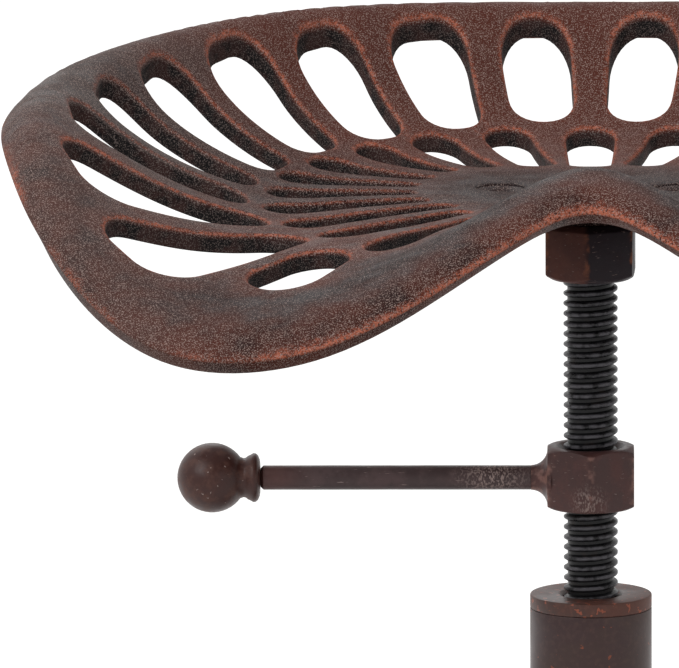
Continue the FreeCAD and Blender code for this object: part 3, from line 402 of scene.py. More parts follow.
def bare_tree(owner: Any) -> Tree:
    """Turns a material's or a world's nodes on and clears them.

    Args:
        owner: the material or world.

    Returns:
        Its empty node tree.
    """
    owner.use_nodes = True
    owner.node_tree.nodes.clear()
    return owner.node_tree


def patches(
    tree: Tree,
    place: Any,
    grain: float,
    low: float,
    high: float,
    detail: float = 3.0,
    roughness: float = 0.55,
) -> Node:
    """Cloudy patches, 0 where there are none and 1 where they are full.

    Args:
        tree: the material's node tree.
        place: the coordinates.
        grain: size of a patch, in millimetres.
        low: noise value below which there is nothing.
        high: noise value above which a patch is full.
        detail: octaves of finer noise.
        roughness: strength of the finer noise.

    Returns:
        The last node.
    """
    inputs = {"Vector": place, "Scale": 1000.0 / grain, "Detail": detail, "Roughness": roughness}
    noise = add(tree, "TexNoise", inputs)
    limits = {"Value": noise, "From Min": low, "From Max": high}
    return add(tree, "MapRange", limits, interpolation_type="SMOOTHSTEP")


def blended(tree: Tree, base: str, layers: Sequence[tuple[Any, Any]]) -> Socket:
    """Lays colours over each other, each through its own mask.

    Args:
        tree: the material's node tree.
        base: the lowest colour, in hex.
        layers: pairs of a mask and the colour that it lets through, in hex or as a socket.

    Returns:
        The resulting colour's socket.
    """
    result: Any = paint(base)
    for mask, colour in layers:
        upper = paint(colour) if isinstance(colour, str) else colour
        result = add(tree, "Mix", {0: mask, 6: result, 7: upper}, data_type="RGBA").outputs[2]
    return result


@dataclass(frozen=True)
class Finish:
    """A surface's name, roughness and bump, common to every finish."""

    name: str
    rough_low: float = 0.4
    rough_high: float = 0.6
    metallic: float = 0.0
    gloss: float = 0.3
    bump_grain: float = 0.8
    bump_height: float = 0.05

    def start(self) -> tuple[bpy.types.Material, Tree, Socket]:
        """Starts a material.

        Returns:
            The material, its node tree and the object coordinates.
        """
        material = bpy.data.materials.new(self.name)
        tree = bare_tree(material)
        return material, tree, add(tree, "TexCoord").outputs["Object"]

    @staticmethod
    def along_and_out(tree: Tree, place: Socket) -> tuple[Socket, Socket]:
        """How far each point is along X, and how far from the upright axis.

        Args:
            tree: the node tree.
            place: the object coordinates.

        Returns:
            The two distances' sockets.
        """
        parts = add(tree, "SeparateXYZ", {0: place}).outputs
        level = add(tree, "CombineXYZ", {0: parts[0], 1: parts[1]})
        return parts[0], add(tree, "VectorMath", {0: level}, operation="LENGTH").outputs["Value"]

    def end(self, tree: Tree, place: Socket, colour: Socket, dull: Node) -> None:
        """Adds the shader, with roughness between its two limits and a fine bump.

        Args:
            tree: the node tree.
            place: the object coordinates.
            colour: the surface's colour.
            dull: 0 where the surface is at its glossiest and 1 where it is dullest.
        """
        grain = {"Vector": place, "Scale": 1000.0 / self.bump_grain, "Detail": 4.0, "Roughness": 0.6}
        height = add(tree, "TexNoise", grain)
        depth = self.bump_height * MM
        limits = {"Value": dull, "To Min": self.rough_low, "To Max": self.rough_high}
        inputs: dict[str, Any] = {
            "Base Color": colour,
            "Roughness": add(tree, "MapRange", limits),
            "Normal": add(tree, "Bump", {"Height": height, "Strength": 1.0, "Distance": depth}),
            "Metallic": self.metallic,
        }
        if not self.metallic:
            inputs["Specular IOR Level"] = self.gloss
        add(tree, "OutputMaterial", {"Surface": add(tree, "BsdfPrincipled", inputs)})


# Masks of the casting that follow a distance: what it counts, its two ends and its values there.
# slot_mm, rim_mm, edge and ragged count millimetres from an edge, depth counts the wall from its
# upper side (0) to its underside (1), side and along count metres from the middle, and ahead
# counts metres from a line just behind it.
CASTING_BANDS = {
    "upper": ("depth", 0.05, 0.19, 1.0, 0.0),
    "below": ("depth", 0.14, 0.34, 0.0, 1.0),
    "spread": ("ahead", 0.02, 0.085, 0.35, 1.0),
    "rear": ("along", 0.02, 0.12, 0.0, 0.85),
    "far_out": ("side", 0.11, 0.165, 0.0, 0.7),
    "flanks": ("side", 0.06, 0.13, 0.0, 1.0),
    "on_rim": ("rim_mm", 4.0, 9.0, 1.0, 0.0),
    "on_wall": ("slot_mm", 0.2, 0.7, 1.0, 0.0),
    "ring": ("ragged", 0.7, 2.3, 0.85, 0.0),
    "core": ("ragged", 0.1, 1.3, 0.95, 0.0),
    "beside": ("edge", 2.0, 22.0, 0.8, 0.0),
    "crowd": ("edge", 1.0, 14.0, 0.045, 0.0),
}

# Patches of the casting: size in millimetres, the noise values where they start and are full, and
# the octaves and roughness of the noise.
CASTING_PATCHES = {
    "blotch": (22.0, 0.2, 0.66, 4.0, 0.55),
    # The next patch spreads the painted grey sheen over the rim's sides in clouds.
    "sheen_cloud": (55.0, 0.0, 0.75, 1.0, 0.55),
    "grit": (0.8, 0.3, 0.58, 1.0, 0.55),
    "thin": (45.0, 0.72, 0.42, 2.0, 0.55),
    "mottle": (11.0, 0.36, 0.68, 5.0, 0.65),
    "ruddy": (9.0, 0.4, 0.62, 3.0, 0.55),
}

# Sums of these, in order: the result's name, the operation, and two names or numbers.
CASTING_DISTANCES = [
    ("side", "ABSOLUTE", "across", 0.0),
    ("ahead", "SUBTRACT", "along", 12.0 * MM),
    ("ahead", "ABSOLUTE", "ahead", 0.0),
    ("wide_rim", "MULTIPLY", "rim_mm", 0.5),
    ("edge", "MINIMUM", "slot_mm", "wide_rim"),
    ("ragged", "ADD", "edge", "shift"),
]
CASTING_WEAR = [
    ("worn", "MAXIMUM", "spread", "on_rim"),
    ("worn", "MULTIPLY", "worn", "upper"),
    ("held", "MULTIPLY", "on_rim", "thin"),
    ("held", "MULTIPLY", "held", "flanks"),
    ("kept", "SUBTRACT", 1.0, "held"),
    ("grit", "MULTIPLY", "grit", "kept"),
    ("rub", "MULTIPLY", "ring", "worn"),
    ("rub", "MULTIPLY", "rub", "grit"),
    ("bright", "MULTIPLY", "core", "worn"),
    ("bright", "MULTIPLY", "bright", "grit"),
    ("blush", "MULTIPLY", "blotch", "beside"),
    ("blush", "MULTIPLY", "blush", "spread"),
    ("still", "SUBTRACT", 1.3, "spread"),
    # Painted sheen: a grey reflection painted on the rim's sides, away from the worn back and front.
    ("painted_sheen", "MULTIPLY", "still", "far_out"),
    ("painted_sheen", "MULTIPLY", "painted_sheen", "sheen_cloud"),
    ("crowded", "ADD", "sand", "crowd"),
    ("walls", "MULTIPLY", "below", "on_wall"),
    ("dull", "MAXIMUM", "mottle", "walls"),
]


@dataclass(frozen=True)
class RubbedCasting(Finish):
    """Sand-cast metal with a dark bronze lacquer, rubbed through to a copper-red undercoat.

    The sand leaves a pebbled grain, whose tops show as fine pale specks. Clothes and hands rub the
    lacquer off the rounded edges of the slots and of the rim and blush it red beside them, while the
    slots' walls stay as dark as they were sprayed. The sides of the rim carry a painted grey sheen.
    """

    lacquer: str = "#180e10"
    lacquer_thin: str = "#251615"
    warm: str = "#583129"
    blush: str = "#5c3026"
    # Grey of the painted sheen on the rim's sides.
    painted_sheen: str = "#5e5957"
    speck: str = "#ad978f"
    rubbed: str = "#824231"
    rubbed_bright: str = "#bd6c53"
    wall: str = "#181617"
    wall_blush: str = "#3a2826"
    wall_speck: str = "#756965"
    sand_grain: float = 0.42
    sand_from: float = 0.58
    sand_to: float = 0.73
    sand_cover: float = 0.66
    ragged_grain: float = 3.5
    ragged_by: float = 0.8

    def material(self) -> bpy.types.Material:
        """Builds the material from the distances and the depth kept on the casting's points.

        Returns:
            The material.
        """
        made, tree, place = self.start()
        marks = ("slot_mm", "rim_mm", "depth")
        kept: dict[Any, Any] = {
            name: add(tree, "Attribute", attribute_name=name).outputs["Fac"] for name in marks
        }
        kept["across"], kept["along"], _ = add(tree, "SeparateXYZ", {0: place}).outputs
        grain = {"Vector": place, "Scale": 1000.0 / self.ragged_grain, "Detail": 4.0, "Roughness": 0.65}
        wobble = {"Value": add(tree, "TexNoise", grain), "From Min": 0.3, "From Max": 0.7}
        kept["shift"] = add(tree, "MapRange", wobble | {"To Min": -self.ragged_by, "To Max": self.ragged_by})
        for name, operation, first, second in CASTING_DISTANCES:
            pair = {0: kept.get(first, first), 1: kept.get(second, second)}
            kept[name] = add(tree, "Math", pair, operation=operation)
        for name, (source, low, high, start, end) in CASTING_BANDS.items():
            limits = {"From Min": low, "From Max": high, "To Min": start, "To Max": end}
            limits["Value"] = kept[source]
            kept[name] = add(tree, "MapRange", limits, interpolation_type="SMOOTHSTEP")
        for name, patch in CASTING_PATCHES.items():
            kept[name] = patches(tree, place, *patch)
        sand = {"Vector": place, "Scale": 1000.0 / self.sand_grain, "Detail": 0.0}
        kept["sand"] = add(tree, "TexNoise", sand)
        for name, operation, first, second in CASTING_WEAR:
            pair = {0: kept.get(first, first), 1: kept.get(second, second)}
            kept[name] = add(tree, "Math", pair, operation=operation)
        tops = {"Value": kept["crowded"], "From Min": self.sand_from, "From Max": self.sand_to}
        specks = add(tree, "MapRange", tops | {"To Max": self.sand_cover}, interpolation_type="SMOOTHSTEP")
        dark = blended(tree, self.wall, [(kept["ruddy"], self.wall_blush), (specks, self.wall_speck)])
        layers = [
            (kept["mottle"], self.lacquer_thin),
            (kept["rear"], self.warm),
            (kept["blush"], self.blush),
            # Painted sheen on the rim's sides.
            (kept["painted_sheen"], self.painted_sheen),
            (kept["rub"], self.rubbed),
            (kept["bright"], self.rubbed_bright),
            (specks, self.speck),
            (kept["walls"], dark),
        ]
        self.end(tree, place, blended(tree, self.lacquer, layers), kept["dull"])
        return made


@dataclass(frozen=True)
class BakedEnamel(Finish):
    """Steel tube with a brown baked enamel, satin and slightly wavy, with small rust freckles."""

    base: str = "#3a2222"
    second: str = "#402d29"
    soft: str = "#5c423b"
    soft_cover: float = 0.35
    fleck: str = "#8a4a34"
    fleck_low: float = 0.68
    fleck_edge: float = 0.05

    def material(self) -> bpy.types.Material:
        """Builds the material.

        Returns:
            The material.
        """
        made, tree, place = self.start()
        cloud = patches(tree, place, 30.0, 0.4, 0.62, detail=4.0)
        fine = patches(tree, place, 2.2, 0.45, 0.75)
        fleck = patches(tree, place, 2.6, self.fleck_low, self.fleck_low + self.fleck_edge, detail=2.0)
        veil = add(tree, "Math", {0: fine, 1: self.soft_cover}, operation="MULTIPLY")
        layers = [(cloud, self.second), (veil, self.soft), (fleck, self.fleck)]
        self.end(tree, place, blended(tree, self.base, layers), cloud)
        return made


@dataclass(frozen=True)
class WornSteel(Finish):
    """Blackened bar steel, browned where the skin is thin and bare on the corners that tools touch.

    Blackening leaves a thin satin skin that rubs off the corners and scratches to pale lines. The
    corners are found by their distance from the upright axis, and by its place on X the held side,
    or on the hexagon a side darkened with painted shade.
    """

    base: str = "#482e2c"
    second: str = "#583936"
    bare: str = "#8c675f"
    scratch: str = "#a8928c"
    corner_from: float = 18.0
    corner_to: float = 18.8
    corner_wander: float = 0.6
    scratches: float = 0.5
    scratch_low: float = 0.66
    scratch_edge: float = 0.06
    scratch_stretch: Point = (0.25, 1.0, 2.6)
    # Span along X and share of the grip colour: wear at the lever's held end, painted shade on the hexagon's
    # right side.
    grip_or_shade_span: tuple[float, float] = (-500.0, -400.0)
    grip_or_shade_share: float = 0.6
    grip: str = "#5a3631"
    scuff_at: Point = (0.0, 0.0, -1000.0)
    scuff_reach: float = 9.0
    scuff_stretch: Point = (1.0, 1.0, 0.55)

    def material(self) -> bpy.types.Material:
        """Builds the material.

        Returns:
            The material.
        """
        made, tree, place = self.start()
        along, reach = self.along_and_out(tree, place)
        wander = {0: patches(tree, place, 4.0, 0.3, 0.7, detail=4.0), 1: self.corner_wander * MM, 2: reach}
        shifted = add(tree, "Math", wander, operation="MULTIPLY_ADD")
        centre = tuple(value * MM for value in self.scuff_at)
        away = add(tree, "VectorMath", {0: place, 1: centre}, operation="DISTANCE").outputs["Value"]
        corner, gripped_or_shaded, near = (
            add(
                tree,
                "MapRange",
                {"Value": value, "From Min": low * MM, "From Max": high * MM, "To Min": start, "To Max": end},
                interpolation_type="SMOOTHSTEP",
            )
            for value, low, high, start, end in (
                (shifted, self.corner_from, self.corner_to, 0.0, 1.0),
                (along, *self.grip_or_shade_span, self.grip_or_shade_share, 0.0),
                (away, self.scuff_reach, 0.0, 0.0, 1.0),
            )
        )
        cloud = patches(tree, place, 8.0, 0.4, 0.66, 5.0, 0.65)
        streaked = add(tree, "Mapping", {"Vector": place, "Scale": self.scratch_stretch})
        upright = add(tree, "Mapping", {"Vector": place, "Scale": self.scuff_stretch})
        scratch_high = self.scratch_low + self.scratch_edge
        corner, lines, scuff = (
            add(tree, "Math", {0: first, 1: second}, operation="MULTIPLY")
            for first, second in (
                (corner, patches(tree, place, 5.0, 0.44, 0.62)),
                (patches(tree, streaked, 1.4, self.scratch_low, scratch_high), self.scratches),
                (patches(tree, upright, 0.7, 0.46, 0.62, detail=4.0), near),
            )
        )
        layers = [
            (cloud, self.second),
            # Redder wear at the held end, or on the hexagon painted shade.
            (gripped_or_shaded, self.grip),
            (lines, self.scratch),
            (corner, self.bare),
            (scuff, self.scratch),
        ]
        self.end(tree, place, blended(tree, self.base, layers), cloud)
        return made


@dataclass(frozen=True)
class OiledScrew(Finish):
    """A rolled steel screw, blackened and oiled, with crests worn grey by the nuts, partly a painted
    highlight.
    """

    base: str = "#131214"
    grease: str = "#221c1b"
    # Grey of the crests: wear from the nuts, and partly a painted highlight along them.
    crest: str = "#5f5d62"
    crest_from: float = 9.35
    crest_to: float = 9.95

    def material(self) -> bpy.types.Material:
        """Builds the material from the distance to the screw's axis.

        Returns:
            The material.
        """
        made, tree, place = self.start()
        _, reach = self.along_and_out(tree, place)
        limits = {"Value": reach, "From Min": self.crest_from * MM, "From Max": self.crest_to * MM}
        crest = add(tree, "MapRange", limits, interpolation_type="SMOOTHSTEP")
        patch = patches(tree, place, 3.0, 0.3, 0.62, detail=4.0)
        worn = add(tree, "Math", {0: crest, 1: patch}, operation="MULTIPLY")
        # Grey crests: wear, and partly a painted highlight.
        layers = [(patches(tree, place, 6.0, 0.55, 0.7), self.grease), (worn, self.crest)]
        self.end(tree, place, blended(tree, self.base, layers), patch)
        return made


@dataclass(frozen=True)
class MottledKnob(Finish):
    """A cast knob with brown lacquer, mottled and chipped to pale specks by use."""

    base: str = "#3e201b"
    second: str = "#55372f"
    chip: str = "#a3908a"

    def material(self) -> bpy.types.Material:
        """Builds the material.

        Returns:
            The material.
        """
        made, tree, place = self.start()
        cloud = patches(tree, place, 5.0, 0.42, 0.66, 5.0, 0.65)
        chips = patches(tree, place, 1.6, 0.70, 0.74, detail=2.0)
        self.end(tree, place, blended(tree, self.base, [(cloud, self.second), (chips, self.chip)]), cloud)
        return made


@dataclass(frozen=True)
class PlainFinish(Finish):
    """Rubber, plastic or small steel fixings: one even colour with a soft cloud of wear in it."""

    base: str = "#1d1c1d"
    second: str = "#2b2929"

    def material(self) -> bpy.types.Material:
        """Builds the material.

        Returns:
            The material.
        """
        made, tree, place = self.start()
        cloud = patches(tree, place, 6.0, 0.38, 0.66, detail=5.0)
        self.end(tree, place, blended(tree, self.base, [(cloud, self.second)]), cloud)
        return made


def mix_coats() -> Coats:
    """Builds each of the stool's materials once.

    Returns:
        The materials, by the coat that each one is.
    """
    low, high = height_of("lock_nut")
    enamel = {"gloss": 0.35}
    finishes = {
        # Sand-cast metal, bronze lacquer over red: dull and pebbled, with copper-red worn edges.
        Coat.CASTING: RubbedCasting("rubbed_bronze_casting", 0.5, 0.7, gloss=0.07, bump_height=0.16),
        # Drawn steel tube, enamelled and baked: an even satin brown with a slight orange peel.
        Coat.ENAMEL: BakedEnamel("baked_enamel", 0.36, 0.5, bump_grain=2.5, bump_height=0.04, **enamel),
        # The same enamel on the turned cap, rubbed thin and reddish by the nut above it.
        Coat.CAP: BakedEnamel(
            "rubbed_cap_enamel",
            0.4,
            0.56,
            base="#48302a",
            second="#5c382e",
            soft="#7a4c3e",
            fleck="#9c5640",
            fleck_low=0.62,
            bump_grain=1.6,
            **enamel,
        ),
        # Hot-forged steel, blackened: satin brown, pale at its corners and scuffed at its foot.
        Coat.NUT: WornSteel(
            "worn_blackened_steel",
            0.4,
            0.55,
            corner_from=17.5,
            corner_to=18.6,
            scuff_at=(-0.7, -16.0, low + 4.0),
            bump_grain=1.2,
        ),
        # Cut from hexagon bar, blackened: brown, with painted shade that makes its right side near black.
        Coat.HEXAGON: WornSteel(
            "worn_hexagon_steel",
            0.45,
            0.6,
            gloss=0.12,
            base="#573833",
            second="#66423b",
            bare="#8f5a46",
            # Painted shade: to the right of x = 0 the hexagon is darkened to near black.
            grip_or_shade_span=(0.0, -3.0),
            grip_or_shade_share=0.9,
            grip="#252329",
            bump_grain=1.2,
        ),
        # Rolled steel thread, blackened and oiled: near black, grey along the crests as wear and partly as a
        # painted highlight.
        Coat.SCREW: OiledScrew(
            "oiled_rolled_screw", 0.26, 0.42, gloss=0.22, bump_grain=1.0, bump_height=0.03
        ),
        # Cast and lacquered ball: a soft brown sheen with small chips.
        Coat.KNOB: MottledKnob("mottled_knob_lacquer", 0.36, 0.52, bump_grain=1.2),
        # Drawn round bar, blackened: satin, scratched along its length, redder where it is held.
        # Its corners lie too far out for the wear of the nuts' corners, which is turned off.
        Coat.LEVER: WornSteel(
            "worn_lever_steel",
            0.36,
            0.5,
            base="#443434",
            second="#534141",
            corner_from=400.3,
            corner_to=401.3,
            scratches=0.7,
            grip_or_shade_span=(-118.0, -100.0),
            scuff_at=(-36.0, -4.0, high - 9.0),
            scuff_reach=18.0,
        ),
        # Moulded rubber: dark and dull.
        Coat.RUBBER: PlainFinish(
            "moulded_rubber", 0.6, 0.78, base="#1b1a1a", second="#262424", bump_grain=0.7
        ),
        # Injection-moulded plastic: dark, with a low even sheen.
        Coat.PLASTIC: PlainFinish(
            "moulded_plastic", 0.38, 0.5, base="#1c1b1c", second="#232122", bump_grain=0.6
        ),
        # Turned nylon: pale and waxy.
        Coat.NYLON: PlainFinish(
            "turned_nylon", 0.35, 0.5, gloss=0.5, base="#c9c2b2", second="#b8b09f", bump_grain=1.0
        ),
        # Cold-formed steel bolts, nuts and washers, blackened: a dark metal sheen.
        Coat.FIXINGS: PlainFinish(
            "blackened_fixings", 0.3, 0.46, metallic=1.0, base="#5d5856", second="#3f3a38"
        ),
    }
    return {coat: finish.material() for coat, finish in finishes.items()}


def dress(piece: Piece, finish: bpy.types.Material, body: Body, slot: str, *nodes: str) -> None:
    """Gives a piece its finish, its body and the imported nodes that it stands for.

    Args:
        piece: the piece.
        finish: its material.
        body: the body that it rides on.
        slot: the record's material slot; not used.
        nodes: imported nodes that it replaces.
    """
    piece.data.materials.clear()
    piece.data.materials.append(finish)
    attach(piece, body.value)
    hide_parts(*nodes)
    LOG.info("%s: %d faces on %s", piece.name, len(piece.data.polygons), body.value)


def coat_nodes(finish: bpy.types.Material, *nodes: str) -> None:
    """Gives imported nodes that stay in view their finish.

    Args:
        finish: the material.
        nodes: the nodes' names.
    """
    for node in nodes:
        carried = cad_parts[node]
        if not carried.material_slots:
            carried.data.materials.append(finish)
        for place in carried.material_slots:
            place.material = finish
        LOG.info("%s: packed shape kept", node)


# Seat casting


def round_turns(count: int) -> np.ndarray:
    """Directions evenly round the seat, in degrees from -180, where 0 is straight back."""
    return -180.0 + 360.0 * np.arange(count) / count


def spun(point: Vector, turn: float) -> tuple[float, float]:
    """A flat point turned about the middle by an angle in radians."""
    cosine, sine = math.cos(turn), math.sin(turn)
    return point.x * cosine - point.y * sine, point.x * sine + point.y * cosine


@dataclass(frozen=True)
class SlotForm:
    """One tapered slot, counted in degrees from straight back, in millimetres.

    No corner is rounded by more than fullest_round of what the slot's width leaves room for.
    """

    angle: float
    inner: float
    outer: float
    inner_width: float
    outer_width: float
    inner_round: float
    outer_round: float
    spacing: float = 2.4
    fullest_round: float = 0.96

    def _corner_points(self) -> list[Vector]:
        """Points round the slot's four corners, with the slot lying along X.

        Returns:
            Points in millimetres, with nothing on the straight runs between corners.
        """
        corners = [
            (Vector((self.inner, -self.inner_width / 2)), self.inner_round),
            (Vector((self.outer, -self.outer_width / 2)), self.outer_round),
            (Vector((self.outer, self.outer_width / 2)), self.outer_round),
            (Vector((self.inner, self.inner_width / 2)), self.inner_round),
        ]
        points: list[Vector] = []
        for index, (corner, wanted) in enumerate(corners):
            before = (corners[index - 1][0] - corner).normalized()
            after = (corners[(index + 1) % 4][0] - corner).normalized()
            half = before.angle(after) / 2
            radius = min(wanted, abs(corner.y) * math.tan(half) * self.fullest_round)
            centre = corner + (before + after).normalized() * (radius / math.sin(half))
            start = corner + before * (radius / math.tan(half)) - centre
            end = corner + after * (radius / math.tan(half)) - centre
            sweep = start.angle_signed(end)
            count = max(3, round(radius * abs(sweep) / self.spacing) + 1)
            points += [centre + Vector(spun(start, -sweep * step / count)) for step in range(count + 1)]
        return points

    def outline(self, side: int) -> list[tuple[float, float]]:
        """Points round the slot, seen from above.

        Args:
            side: 1 for the left side, -1 for its mirror image.

        Returns:
            Points in millimetres.
        """
        points = self._corner_points()
        filled: list[Vector] = []
        for index, point in enumerate(points):
            after = points[(index + 1) % len(points)]
            pieces = max(1, round((after - point).length / self.spacing))
            filled += [point.lerp(after, part / pieces) for part in range(pieces)]
        turn = math.radians(90 + side * self.angle)
        return [spun(point, turn) for point in filled]


@dataclass(frozen=True)
class SeatSection:
    """Control points of the seat's upper surface along one direction: (reach, height above the pan).

    The roll says how far the rim lies outside and below its crest, and how much of that drop is
    reached early, at lip_share of the way. The rise lifts the pan on its way to its edge.
    """

    angle: float
    pan: tuple[float, float]
    foot: tuple[float, float]
    wall: tuple[float, float]
    shoulder: tuple[float, float]
    crest: tuple[float, float]
    roll: Point
    rise: tuple[float, float] = (0.0, 0.0)
    lip_share: float = 0.65

    def rows(self) -> list[tuple[float, float]]:
        """All control points from the pan's middle out to the rim.

        Returns:
            Ten pairs of reach and height, in millimetres.
        """
        reach, height = self.crest
        out, drop, early = self.roll
        lip = (reach + self.lip_share * out, height - early * drop)
        rim = (reach + out, height - drop)
        near, far = self.rise
        middle = [(20.0, 0.0), (40.0, near), (60.0, far)]
        return middle + [self.pan, self.foot, self.wall, self.shoulder, self.crest, lip, rim]


# The seat's sections from straight back (0 degrees) round to the tongue at the front (180).
SECTIONS = [
    SeatSection(0, (95, 0), (123, 6), (145, 22.5), (163, 50), (179, 45.5), (11, 10.5, 0.4)),
    SeatSection(45, (95, 0), (120.5, 3), (152, 21), (171.5, 53.5), (182, 46), (11, 10.3, 0.4)),
    SeatSection(90, (95, 0), (122.5, -1), (164.5, 18), (184.5, 40), (199, 42), (14, 12.5, 0.4)),
    SeatSection(112.5, (95, -1), (130.5, -3.5), (167, 10), (200, 28.5), (213, 33.5), (13, 12, 0.4)),
    SeatSection(127.5, (100, -1), (135, -3), (174.5, -2.5), (210, 6.5), (224, 5), (16, 5, 0.4)),
    SeatSection(
        142.5, (100, -1), (140.5, 1.5), (174.5, -8), (204.5, -14.5), (223, -16), (24, 12, 0.4), (0.2, 1.2)
    ),
    SeatSection(157.5, (85, 4), (115, 5), (145, 5), (175, 1), (195, -5.5), (27, 16.5, 0.35), (1.0, 4.2)),
    SeatSection(
        168.75, (75, 9), (93, 13), (115, 21), (138, 21.5), (155, 16.5), (21.5, 11.5, 0.3), (1.9, 6.2)
    ),
    SeatSection(180, (70, 9), (85, 16), (100, 26), (118, 29), (133, 26.5), (13, 8.5, 0.2), (2.1, 6.5)),
]

# The two rings of slots on the left side, from straight back round to the front.
OUTER_SLOTS = [
    SlotForm(7.9, 124, 161.5, 23, 28, 12, 12.5),
    SlotForm(23.5, 123, 163, 20.5, 34, 11, 10.5),
    SlotForm(38.9, 122.5, 166, 23, 30.5, 10.5, 11),
    SlotForm(54.4, 122.5, 170.5, 23, 36.5, 9, 12.5),
    SlotForm(70.6, 121.5, 175, 24, 38, 8.5, 13.5),
    SlotForm(85.6, 123.5, 182, 18, 36, 8.5, 11),
    SlotForm(99.2, 127.5, 191.5, 24, 34, 10.5, 8),
    SlotForm(114.9, 130.5, 205, 21, 44, 10, 13),
    SlotForm(130.2, 138, 216.5, 22, 46.5, 10.5, 15),
    SlotForm(143, 151, 192, 23.5, 30, 13, 13.5),
]
INNER_SLOTS = [
    SlotForm(0, 63, 118.7, 14.5, 19, 5.5, 9),
    SlotForm(16, 67, 120.5, 13, 18.5, 6, 9),
    SlotForm(31, 72, 121, 10.5, 20, 5, 9.5),
    SlotForm(45, 73, 120.5, 8.5, 18.5, 4, 8.5),
    SlotForm(60, 68, 119.5, 9.5, 20, 4.5, 9),
    SlotForm(75, 66, 119, 9, 20.5, 4, 9),
    SlotForm(90, 64.5, 119, 9, 20, 4, 9),
    SlotForm(105, 62, 123, 9, 20, 4, 9),
    SlotForm(120, 58, 127, 9, 21, 4, 9.5),
    SlotForm(135, 64, 134, 10, 22, 4.5, 10),
    SlotForm(150, 80, 150, 10, 22, 4.5, 10),
]


